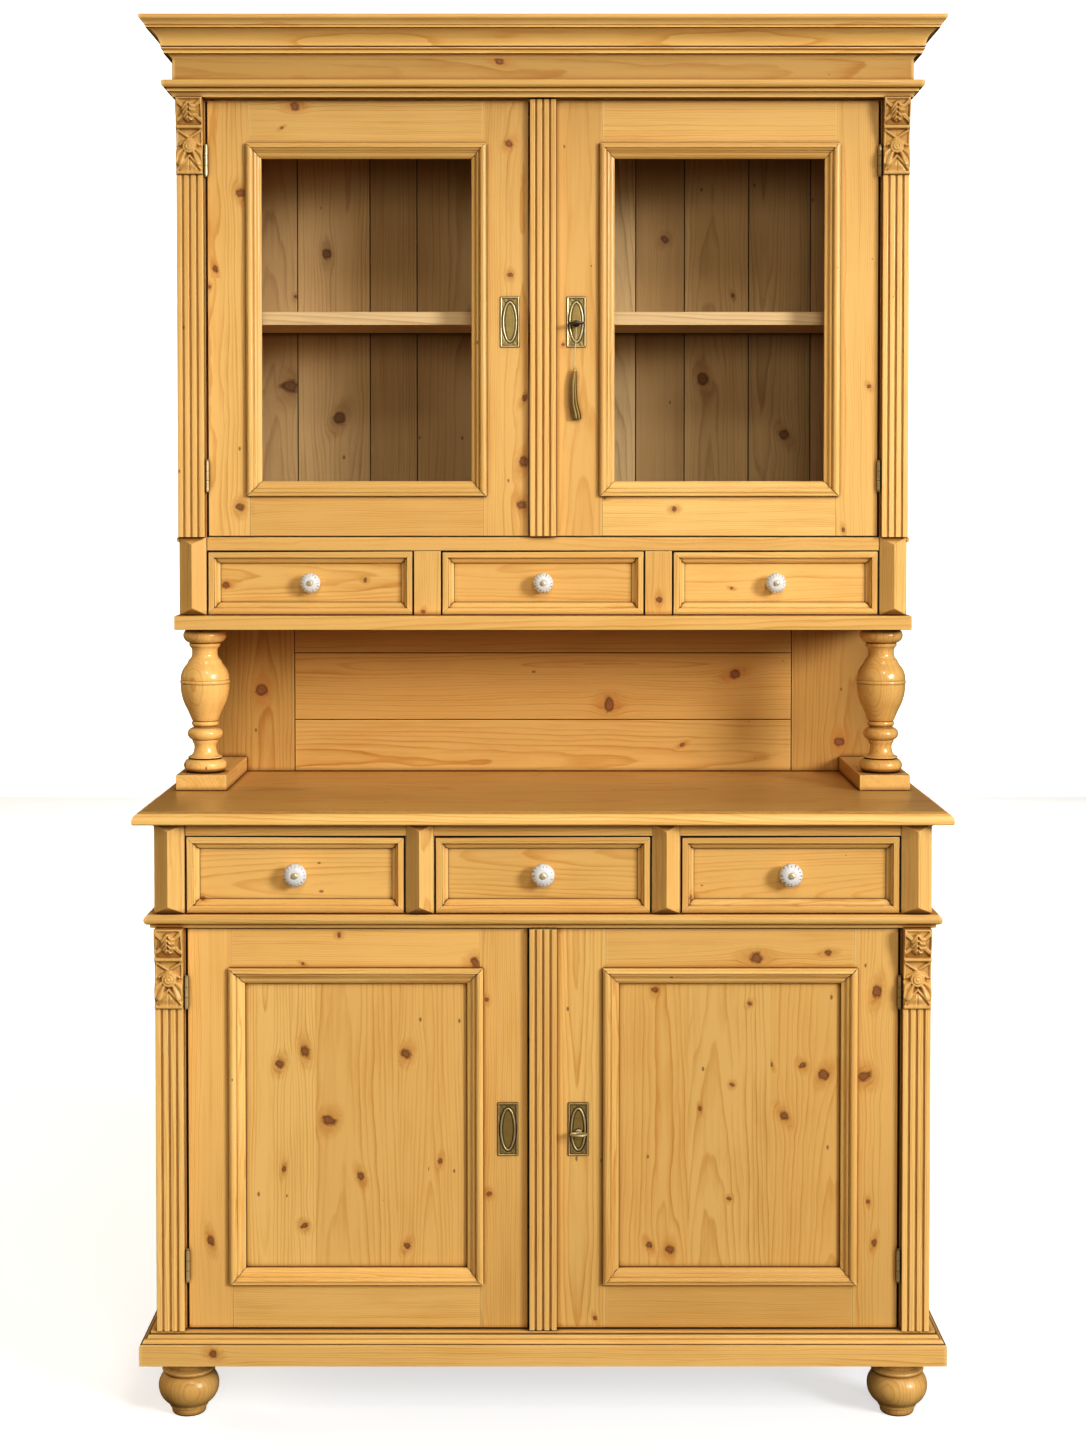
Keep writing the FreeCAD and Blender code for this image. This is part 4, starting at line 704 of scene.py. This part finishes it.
def wood_piece(node, material):
    parts = solids(node)
    box = [Vector(pick(limits(part)[end][i] for part in parts) for i in range(3))
           for end, pick in ((0, min), (1, max))]
    for number, part in enumerate(parts):
        # Doors and drawers: painted shade of the gap, with some dirt, on the edges along it
        for kind, (width, shade_and_dirt) in GAP_EDGES.items():
            if node.endswith(kind):
                soften_outline(part, box, width, shade_and_dirt)
        # Painted shade, with some dirt, on the narrow ledges of mouldings
        if node.endswith("moulding"):
            paint_ledge_shade_and_dirt(part, LEDGE_SHADE_AND_DIRT)
        soften(part, SOFTNESS.get(node, USUAL_SOFTNESS))
        grain(part, node, number)
        # A painted highlight on the worktop's front edge and ends
        if node == "worktop":
            paint_front_highlight(part, FRONT_HIGHLIGHT_TONE)
        elif node in ("cornice_moulding", "frieze_boards"):
            bmesh.ops.recalc_face_normals(part, faces=part.faces)
            dust_top(part)
    finish(merged(parts), "pine_" + node, material, 50, node)


# Helpers for carved and turned forms

def circle(count):
    """The angles of a full turn in equal steps."""
    return [tau * k / count for k in range(count)]


def ridge(distance, half_width):
    """The height of a rounded bar, 1 on its middle line."""
    return sqrt(max(0.0, 1 - (distance / half_width) ** 2))


def to_line(x, z, start, end):
    """Distance of a point from a line between two points."""
    along, to_spot = Vector(end) - Vector(start), Vector((x, z)) - Vector(start)
    share = min(max(to_spot.dot(along) / along.length_squared, 0), 1)
    return (to_spot - along * share).length


def spread(low, high, count):
    return [low + (high - low) * i / count for i in range(count + 1)]


def relief(low, high, cells, face, hole=lambda x, z: False):
    """A closed solid in a box, with a carved front and a flat back; cells in the hole are left out."""
    part = bmesh.new()
    xs, zs = spread(low.x, high.x, cells[0]), spread(low.z, high.z, cells[1])
    front = [[part.verts.new((x, face(x, z), z)) for x in xs] for z in zs]
    rear = [[part.verts.new((x, high.y, z)) for x in xs] for z in zs]
    twin = {f: r for fronts, rears in zip(front, rear) for f, r in zip(fronts, rears)}
    rear_faces = []
    for j in range(len(zs) - 1):
        for i in range(len(xs) - 1):
            if hole((xs[i] + xs[i + 1]) / 2, (zs[j] + zs[j + 1]) / 2):
                continue
            corners = front[j][i], front[j][i + 1], front[j + 1][i + 1], front[j + 1][i]
            part.faces.new(corners)
            rear_faces.append(part.faces.new([twin[v] for v in reversed(corners)]))
    rims = [e for e in part.edges if len(e.link_faces) == 1 and e.verts[0] in twin]
    rim_verts = {v for e in rims for v in e.verts}
    for edge in rims:
        first, second = edge.verts
        part.faces.new((second, first, twin[first], twin[second]))
    loose = [v for v in part.verts if not v.link_faces]
    bmesh.ops.delete(part, geom=loose, context="VERTS")
    inner = [v for row in front[1:-1] for v in row[1:-1] if v.is_valid and v not in rim_verts]
    for _ in range(2):
        bmesh.ops.smooth_vert(part, verts=inner, factor=0.5, use_axis_y=True)
    rear_edges = list(dict.fromkeys(e for f in rear_faces for e in f.edges))
    bmesh.ops.dissolve_limit(part, angle_limit=0.001, verts=[], edges=rear_edges)
    return part


def join_rings(part, low, high, sides):
    """Adds the faces between two rings of points; a ring may be a single point."""
    for k in range(sides):
        after = k + 1
        corners = low[k % len(low)], low[after % len(low)], high[after % len(high)], high[k % len(high)]
        part.faces.new(dict.fromkeys(corners))


def turn(part, outline, segments, put):
    """Adds a turned form; put gives the point for a radius, an angle and a height."""
    rings = []
    for radius, height in outline:
        angles = circle(segments if radius else 1)
        rings.append([part.verts.new(put(radius, angle, height)) for angle in angles])
    for low, high in zip(rings, rings[1:]):
        join_rings(part, low, high, segments)


def tube(part, points, radius, sides, closed=False):
    """Adds a round tube along points."""
    rings = []
    count = len(points)
    for i, point in enumerate(points):
        ahead = points[(i + 1) % count] if closed or i < count - 1 else point
        behind = points[i - 1] if closed or i else point
        way = (ahead - behind).normalized()
        aside = way.orthogonal().normalized() if not rings else (aside - way * aside.dot(way)).normalized()
        up = way.cross(aside)
        rings.append([part.verts.new(point + (aside * cos(a) + up * sin(a)) * radius)
                      for a in circle(sides)])
    for low, high in zip(rings, rings[1:]):
        join_rings(part, low, high, sides)
    if closed:
        join_rings(part, rings[-1], rings[0], sides)
    else:
        part.faces.new(list(reversed(rings[0])))
        part.faces.new(rings[-1])


# Carved corbels

CORBEL_PROFILE = [
    (0, 0.64), (0.045, 0.64), (0.05, 0.6), (0.13, 0.7), (0.25, 0.63), (0.4, 0.5), (0.57, 0.58), (0.592, 0.6),
    (0.594, 0.74), (0.645, 0.74), (0.648, 0.62), (0.72, 0.76), (0.87, 0.94), (1, 0.95)]
CORBEL_REACH = 0.025
CARVING_DEPTH = 1.6 * MM
CARVING_RISE = 120
CORBEL_CELLS = (60, 168)


def corbel_carving(x, z):
    """Height of the carving in millimetres; x from the middle line, z from the foot of the block."""
    side = abs(x)
    if z < 5.6:
        return 0.9 * ridge(z - 2.7, 3.0) - 0.5
    if 71 < z < 77.5:
        return 0.9 * ridge(z - 74.3, 3.4) - 0.4
    if z >= 77.5:
        # A rose of folded leaves between four corner leaves
        rose = 1 - (side / 11.5) ** 2 - ((z - 98) / 16.5) ** 2
        fold = ((z + side * 0.75 + 2 * sin(x * 0.5)) / 7.6) % 1
        height = -1.8
        if rose > 0:
            height = -1.6 + 3.0 * rose ** 0.4 + 1.7 * (ramp(0, 0.75, fold) - ramp(0.75, 1, fold))
            height -= 1.2 * ridge(side, 0.9) * ramp(0.1, 0.5, rose)
        for corner_z, tip in ((114, -1), (84, 1)):
            leaf = to_line(side, z, (18.5, corner_z), (10.5, corner_z + tip * 7.5))
            height = max(height, -1.7 + 2.6 * ridge(leaf, 3.6) - 0.9 * ridge(leaf, 0.8))
        frame_edge = max(ridge(side - 19.7, 1.6), ridge(z - 118.5, 2.0))
        return max(height, -1.6 + 2.0 * frame_edge)
    # Rosette over crossed straps, leaves spreading below it
    height = -1.4 + 0.35 * sin(x * 0.9) * sin(z * 0.5)
    if z > 44:
        for start, end in (((-19.5, 70), (15, 47)), ((19.5, 70), (-15, 47))):
            strap = to_line(x, z, start, end)
            height = max(height, -1.2 + 2.0 * ridge(strap, 2.6))
        height = max(height, -1.3 + 1.6 * ridge(side - 19.2, 1.7))
    angle = atan2(side, 44 - z)
    away = hypot(x, z - 44)
    if z < 42:
        flute = abs(sin((angle + away * 0.012) * 6.2))
        body = ramp(0.2, 0.45, angle) * (1 - ramp(1.25, 1.5, angle)) * (1 - ramp(33, 38, away))
        height = max(height, -1.6 + body * (1.3 + 2.3 * flute ** 0.6))
        tent = to_line(side, z, (0.0, 29.5), (18.6, 7.5))
        inside = (29.5 - z) * 18.6 / 22 - side
        if inside > 0:
            height = -1.3 + 1.5 * ramp(0, 9, inside) - 0.8 * ridge(side, 0.8) * ramp(1, 5, inside)
        height = max(height, -1.2 + 2.4 * ridge(tent, 2.3))
    if away < 11.4:
        dome = 0.6 + 3.4 * ridge(away, 11.4) - 0.9 * ridge(away - 7.4, 1.0) - 0.6 * ridge(away - 3.2, 0.9)
        height = max(height, dome)
    return height


def corbels():
    parts = []
    for number, block in enumerate(solids("carved_corbels")):
        low, high = limits(block)
        block.free()
        middle = (low.x + high.x) / 2

        def face(x, z):
            edge = min(x - low.x, high.x - x, z - low.z, high.z - z) / MM
            share = (z - low.z) / (high.z - low.z)
            carved = corbel_carving((x - middle) / MM, share * CARVING_RISE) * CARVING_DEPTH
            rounded = 0.001 * (1 - ramp(0, 1.1, edge))
            return high.y - CORBEL_REACH * between(CORBEL_PROFILE, share, smooth=True) - carved + rounded

        part = relief(low, high, CORBEL_CELLS, face)
        grain(part, "carved_corbels", number)
        parts.append(part)
    finish(merged(parts), "pine_carved_corbels", WAXED, 60, "carved_corbels")


# Brass plates, lock parts and hinges

PLATE_HALF = Vector((15.25, 40.0))
PLATE_RING = Vector((10.4, 31.2))
PLATE_CELLS = (58, 150)
PLATE_RISE = 0.08
PLATE_WIDEST = 0.032
KEYHOLE_DROP = 3
KEYHOLE_RADIUS = 3.2
KEYHOLE_SLOT = (8.3, 1.4)


def plate_lines(x, z):
    """Distances from a plate's edge and from its oval ring; x and z from its middle, all in millimetres."""
    side, up = abs(x), abs(z)
    edge = min(PLATE_HALF.x - side, PLATE_HALF.y - up)
    k = ((side / PLATE_RING.x) ** 1.9 + (up / PLATE_RING.y) ** 1.9) ** (1 / 1.9)
    steep = hypot(side / PLATE_RING.x ** 2, up / PLATE_RING.y ** 2) / max(k, 0.2)
    return edge, (k - 1) / max(steep, 0.02)


def plate_recess_and_edge_shadow(x, z):
    """How sunk and dirty a spot of a plate is: 0 on its ring and border, 1 in the lines beside them, and 1
    along its outer edge, where the plate's shadow is painted.
    """
    edge, from_ring = plate_lines(x, z)
    # The first term is the plate's shadow, painted along its outer edge
    line = max(1 - ramp(0.3, 0.8, edge), ridge(edge - 3.3, 0.7), ridge(abs(from_ring) - 2.4, 0.8))
    raised = max(ridge(edge - 1.7, 1.2), ridge(from_ring, 1.7))
    return max(line, 0.5 - 0.5 * ramp(0, 0.4, raised))


def plate_height(x, z):
    """Height of a plate's face above the door in millimetres."""
    edge, from_ring = plate_lines(x, z)
    height = 1.4 + 1.1 * ridge(edge - 1.4, 1.35) - 1.0 * (1 - ramp(0, 0.5, edge))
    height += 1.65 * ridge(from_ring, 1.7) - 0.45 * ridge(abs(from_ring) - 2.3, 0.8)
    if from_ring > 1.7 and edge > 2.8:
        fan = atan2(PLATE_HALF.x - abs(x), PLATE_HALF.y - abs(z) + 4)
        height += 0.5 * abs(sin(fan * 7)) * ramp(1.7, 3.2, from_ring)
    return height


def plate(low, high, keyed):
    middle = (low + high) / 2

    def hole(x, z):
        dx, dz = (x - middle.x) / MM, (z - middle.z) / MM + KEYHOLE_DROP
        in_slot = 0 < dx < KEYHOLE_SLOT[0] and abs(dz) < KEYHOLE_SLOT[1]
        return keyed and (hypot(dx, dz) < KEYHOLE_RADIUS or in_slot)

    def face(x, z):
        return high.y - plate_height((x - middle.x) / MM, (z - middle.z) / MM) * MM

    part = relief(low, high, PLATE_CELLS, face, hole)
    recess_and_edge_shadow = part.verts.layers.float.new("recess_and_edge_shadow")
    for vert in part.verts:
        vert[recess_and_edge_shadow] = plate_recess_and_edge_shadow((vert.co.x - middle.x) / MM, (vert.co.z - middle.z) / MM)
    return part


def fittings(unit, side, brass):
    """The plate of a door as its own piece, and the door's lock parts and hinge leaves as another."""
    node = f"{unit}_{side}_door_fittings"
    others = []
    for part in solids(node):
        low, high = limits(part)
        if abs(high.z - low.z - PLATE_RISE) < MM and high.x - low.x < PLATE_WIDEST:
            part.free()
            front = plate(low, high, side == "right")
            finish(front, f"{unit}_{side}_plate", brass, 55, node)
        else:
            others.append(part)
    plain_metal(node, others, f"{unit}_{side}_lock_and_leaves", DARK_BRASS)


def plain_metal(node, parts, name, material):
    for part in parts:
        soften(part, METAL_SOFTNESS)
    finish(merged(parts), name, material, 40, node)


# Keys

KEY_X = 0.0525
BOW_DEPTH, BOW_WIDTH, BOW_BAR = 0.0195, 0.026, 0.002
COLLAR_RADIUS, COLLAR_WIDTH = 0.0029, 0.0018
FINE_SOFTNESS = 0.0003


def key(unit, material):
    """The CAD's shank and bit, with a round-barred bow and two collars."""
    node = unit + "_key"
    part = solids(node)[0]
    low, high = limits(part)
    key_z = (low.z + high.z) / 2
    cut_y = low.y + BOW_DEPTH - 0.001
    slice_at(part, 1, [cut_y], clear=True)
    bmesh.ops.holes_fill(part, edges=[e for e in part.edges if e.is_boundary])
    soften(part, FINE_SOFTNESS)
    middle = Vector((KEY_X, low.y + BOW_DEPTH / 2, key_z))
    half_x, half_y = BOW_WIDTH / 2 - BOW_BAR, BOW_DEPTH / 2 - BOW_BAR
    oval = [middle + Vector((half_x * cos(a), half_y * sin(a), 0)) for a in circle(48)]
    tube(part, oval, BOW_BAR, 14, closed=True)

    def around(radius, angle, height):
        return Vector((KEY_X + radius * cos(angle), cut_y + height, key_z + radius * sin(angle)))

    for start, bulge in ((-0.0014, 0.0027), (0.0058, 0.0013)):
        collar = [(0, start)]
        for share in spread(0, 1, 8):
            collar.append((COLLAR_RADIUS + bulge * sin(pi * share), start + COLLAR_WIDTH * share))
        turn(part, collar + [(0, start + COLLAR_WIDTH)], 28, around)
    finish(part, "metal_" + node, material, 40, node)


# Porcelain pulls

KNOB_OUTLINE = [
    (0, 0), (0.56, 0), (0.575, 0.03), (0.56, 0.065), (0.49, 0.12), (0.46, 0.2), (0.48, 0.29), (0.58, 0.36),
    (0.78, 0.41), (0.92, 0.46), (0.98, 0.52), (1, 0.58), (0.99, 0.63), (0.965, 0.68), (0.93, 0.72),
    (0.88, 0.76), (0.82, 0.79), (0.76, 0.82), (0.69, 0.845), (0.62, 0.865), (0.54, 0.885), (0.45, 0.9),
    (0.36, 0.91), (0.31, 0.9), (0.25, 0.9), (0, 0.9)]
KNOB_FLUTES = 16
FLUTE_DEPTH = 0.02
RIM_HEIGHT = 0.58


def flute(radius_share, height_share, angle):
    """Depth of the short flutes round the rim, from 0 to 1."""
    if height_share < RIM_HEIGHT:
        return 0.0
    band = ramp(0.6, 0.74, radius_share) * (1 - ramp(0.93, 1.0, radius_share))
    return band * (0.5 + 0.5 * cos(angle * KNOB_FLUTES)) ** 5


def pull(node):
    """A porcelain knob with short flutes round its rim, and the brass bolt through it."""
    knob, bolt = sorted(solids(node), key=lambda p: limits(p)[0].x)
    low, high = limits(knob)
    knob.free()
    radius = (high.x - low.x) / 2
    reach = high.y - limits(bolt)[0].y
    x, z = (low.x + high.x) / 2, (low.z + high.z) / 2
    new = bmesh.new()
    groove = new.verts.layers.float.new("groove")

    def around(share, angle, height):
        front = high.y - reach * (height - flute(share, height, angle) * FLUTE_DEPTH)
        return Vector((x + radius * share * cos(angle), front, z + radius * share * sin(angle)))

    turn(new, KNOB_OUTLINE, 128, around)
    for vert in new.verts:
        offset = vert.co - Vector((x, high.y, z))
        share = hypot(offset.x, offset.z) / radius
        vert[groove] = flute(share, -offset.y / reach, atan2(offset.z, offset.x))
    finish(new, "porcelain_" + node, PORCELAIN, 70, node)
    soften(bolt, FINE_SOFTNESS)
    finish(bolt, "bolt_of_" + node, BRASS, 40, node)


# Cord and tassel on the upper key

CORD_ROUTE = [
    (0.0525, -0.002, 1.6537), (0.0523, -0.0022, 1.646), (0.0516, -0.0026, 1.629), (0.0500, -0.0028, 1.611),
    (0.0494, -0.0024, 1.597), (0.0500, -0.002, 1.5877)]
CORD_DIAMETER = 0.0016
LOOP_RADIUS = 0.0038
LOOP_Z = 1.6585
TASSEL_LENGTH = 0.08
STRANDS = 120
GOLDEN_ANGLE = 2.39996
TASSEL_BEND = ((0.0, -2.5), (0.35, -5.0), (0.6, -4.6), (1.0, 0.8))


def tassel_line(share):
    """A point on the tassel's middle line, from its top to its tips."""
    top = Vector(CORD_ROUTE[-1])
    bend = between(TASSEL_BEND, share, smooth=True)
    return Vector((KEY_X + bend * MM, top.y, top.z - TASSEL_LENGTH * share))


def tassel():
    draw = random.Random("tassel")
    part = bmesh.new()
    tone = part.verts.layers.float.new("tone")

    def strand(points, radius, own_tone, sides=5, closed=False):
        before = len(part.verts)
        tube(part, points, radius, sides, closed)
        part.verts.ensure_lookup_table()
        for vert in part.verts[before:]:
            vert[tone] = own_tone

    for number in range(STRANDS):
        angle = number * GOLDEN_ANGLE
        rim = sqrt((number + 0.5) / STRANDS)
        end = 1 - 0.025 * draw.random()
        wander = draw.uniform(-0.35, 0.35)
        points = []
        for k in range(13):
            share = k / 12 * end
            width = 0.0012 + 0.0026 * ramp(0, 0.12, share) + 0.003 * share
            twist = angle + wander * share
            centre = tassel_line(share)
            points.append(centre + Vector((1.08 * cos(twist), 0.62 * sin(twist), 0)) * width * rim)
        # Pale strands on the right and darker ones on the left: painted highlight and shade, as lit from the
        # right
        beside = rim * cos(angle)
        streak = 0.65 * cos(tau * (beside - 0.22) / 0.5) * ramp(-0.2, 0.1, beside)
        strand(points, 0.0005, 0.35 + streak + draw.uniform(-0.2, 0.2))
    for k in range(3):
        centre = tassel_line(0.025 + 0.009 * k)
        ring = [centre + Vector((0.0022 * cos(a), 0.0019 * sin(a), 0.0003 * sin(a)))
                for a in circle(20)]
        strand(ring, 0.0004, 1.2, 6, closed=True)
    top = tassel_line(0)
    knot = [top + Vector((0.0011 * cos(a), 0.0011 * sin(a), 0.0009 * sin(2 * a) - 0.0008))
            for a in circle(24)]
    strand(knot, 0.0008, 1.4, 8, closed=True)
    finish(part, "key_tassel_threads", THREAD, 70, "key_tassel")


def cord_on_key():
    line = bpy.data.curves.new("tassel_cord", "CURVE")
    line.dimensions = "3D"
    spline = line.splines.new("NURBS")
    spline.points.add(len(CORD_ROUTE) - 1)
    for point, spot in zip(spline.points, CORD_ROUTE):
        point.co = (*spot, 1)
    spline.order_u = 3
    spline.use_endpoint_u = True
    line.bevel_depth = CORD_DIAMETER / 2
    line.bevel_resolution = 3
    line.use_fill_caps = True
    line.materials.append(CORD)
    cord = linked("tassel_cord", line)
    place(cord, "key_cord")
    loop = bmesh.new()
    middle = Vector((*CORD_ROUTE[0][:2], LOOP_Z))
    ring = [middle + Vector((cos(a), 0, sin(a))) * LOOP_RADIUS for a in circle(32)]
    tube(loop, ring, CORD_DIAMETER / 2, 8, closed=True)
    loop_piece = finish(loop, "cord_loop", CORD, 70, "key_cord")
    tassel()


# Every piece

for row in frame["record"]["subparts"]:
    node, slot = row["node"], row["material_slot"]
    if slot == "pine" and node != "carved_corbels":
        wood_piece(node, BARE_PINE_WITH_PAINTED_SHADE if node in INSIDE else POLISHED if node == "turned_columns" else WAXED)
    elif slot == "glass":
        nodes[node].data.materials.clear()
        nodes[node].data.materials.append(GLASS)
    elif slot == "porcelain":
        pull(node)
corbels()
for side in ("left", "right"):
    fittings("upper", side, BRASS)
    fittings("base", side, DARK_BRASS)
for node, material in (
        ("fixed_hinge_leaves", DARK_BRASS), ("hinge_pins", DARK_BRASS), ("upper_lock_bolt", STEEL),
        ("base_lock_bolt", STEEL)):
    plain_metal(node, solids(node), "metal_" + node, material)
key("upper", BLACKED)
key("base", DARK_BRASS)
cord_on_key()


# Floor, light and camera

def stage_plane(name, corners, glow):
    """A pale, glowing sheet behind or under the dresser, which sheds no light on it."""
    mesh = bpy.data.meshes.new(name)
    mesh.from_pydata(corners, [], [(0, 1, 2, 3)])
    t = Shader(name)
    colour = t.mix(t.noise(t.spot(), 0.6, 2.0), (0.6, 0.6, 0.6), (0.57, 0.57, 0.57))
    mesh.materials.append(t.shade(**{
        "Base Color": colour, "Roughness": 0.8, "Emission Color": (1, 1, 1, 1), "Emission Strength": glow}))
    plane = linked(name, mesh)
    plane.visible_diffuse = False
    plane.visible_glossy = False


ROOM_CORNERS = [(-12, -11), (12, -11), (12, 7), (-12, 7)]
ROOM_TOP = 9
FLOOR_GLOW = 0.68
WALL_GLOW = 0.95
stage_plane("floor", [(*corner, 0) for corner in ROOM_CORNERS], FLOOR_GLOW)
for number, name in enumerate(("front_wall", "right_wall", "back_wall", "left_wall")):
    start, end = ROOM_CORNERS[number], ROOM_CORNERS[number - 3]
    stage_plane(name, [(*start, 0), (*end, 0), (*end, ROOM_TOP), (*start, ROOM_TOP)], WALL_GLOW)


def soft_light(name, place_at, aim, size, power, mirrored=True, tint=(1, 1, 1)):
    lamp = bpy.data.lights.new(name, "AREA")
    lamp.shape = "DISK"
    lamp.size = size
    lamp.energy = power
    lamp.color = tint
    lamp_object = linked(name, lamp)
    lamp_object.location = place_at
    lamp_object.rotation_euler = (Vector(aim) - Vector(place_at)).to_track_quat("-Z", "Y").to_euler()
    lamp_object.visible_camera = False
    lamp_object.visible_glossy = mirrored


soft_light("key", (6.5, -6.2, 3.6), (0, 0, 1.05), 2.8, 640, tint=(0.98, 1.0, 1.06))
soft_light("fill", (0, -7.0, 2.5), (0, 0, 1.1), 2.8, 170, mirrored=False, tint=(1.0, 0.95, 0.86))
soft_light("top", (1.6, -6.0, 6.5), (0, 0, 1.0), 1.6, 110)
soft_light("left", (-7.5, 3.2, 2.6), (0, 0, 1.0), 3.0, 290, mirrored=False, tint=(1.0, 0.9, 0.72))
soft_light("behind", (1.0, 6.5, 3.0), (0, 0, 1.0), 3.0, 240, mirrored=False)

# A sky that is brighter above than below
sky = Shader("studio", world=True)
upward = sky.split(sky.add("ShaderNodeTexCoord").outputs["Generated"])["Z"]
brightness = sky.add("ShaderNodeMapRange", {"Value": upward, "From Min": -1, "To Min": 0.04, "To Max": 0.18})
air = sky.add("ShaderNodeBackground", {
    "Color": (1.0, 0.68, 0.32, 1), "Strength": brightness.outputs["Result"]})
sky.add("ShaderNodeOutputWorld", {"Surface": air.outputs[0]})
scene.world = sky.owner

view = bpy.data.cameras.new("camera")
view.sensor_fit = "VERTICAL"
view.sensor_height = 36
view.lens = 58.03
view.shift_y = -0.11
camera = linked("camera", view)
camera.location = (0, -3.6945, 1.39)
camera.rotation_euler = (radians(90 - 1.738), 0, 0)
scene.camera = camera
scene.view_settings.view_transform = "Standard"
scene.view_settings.gamma = 0.8
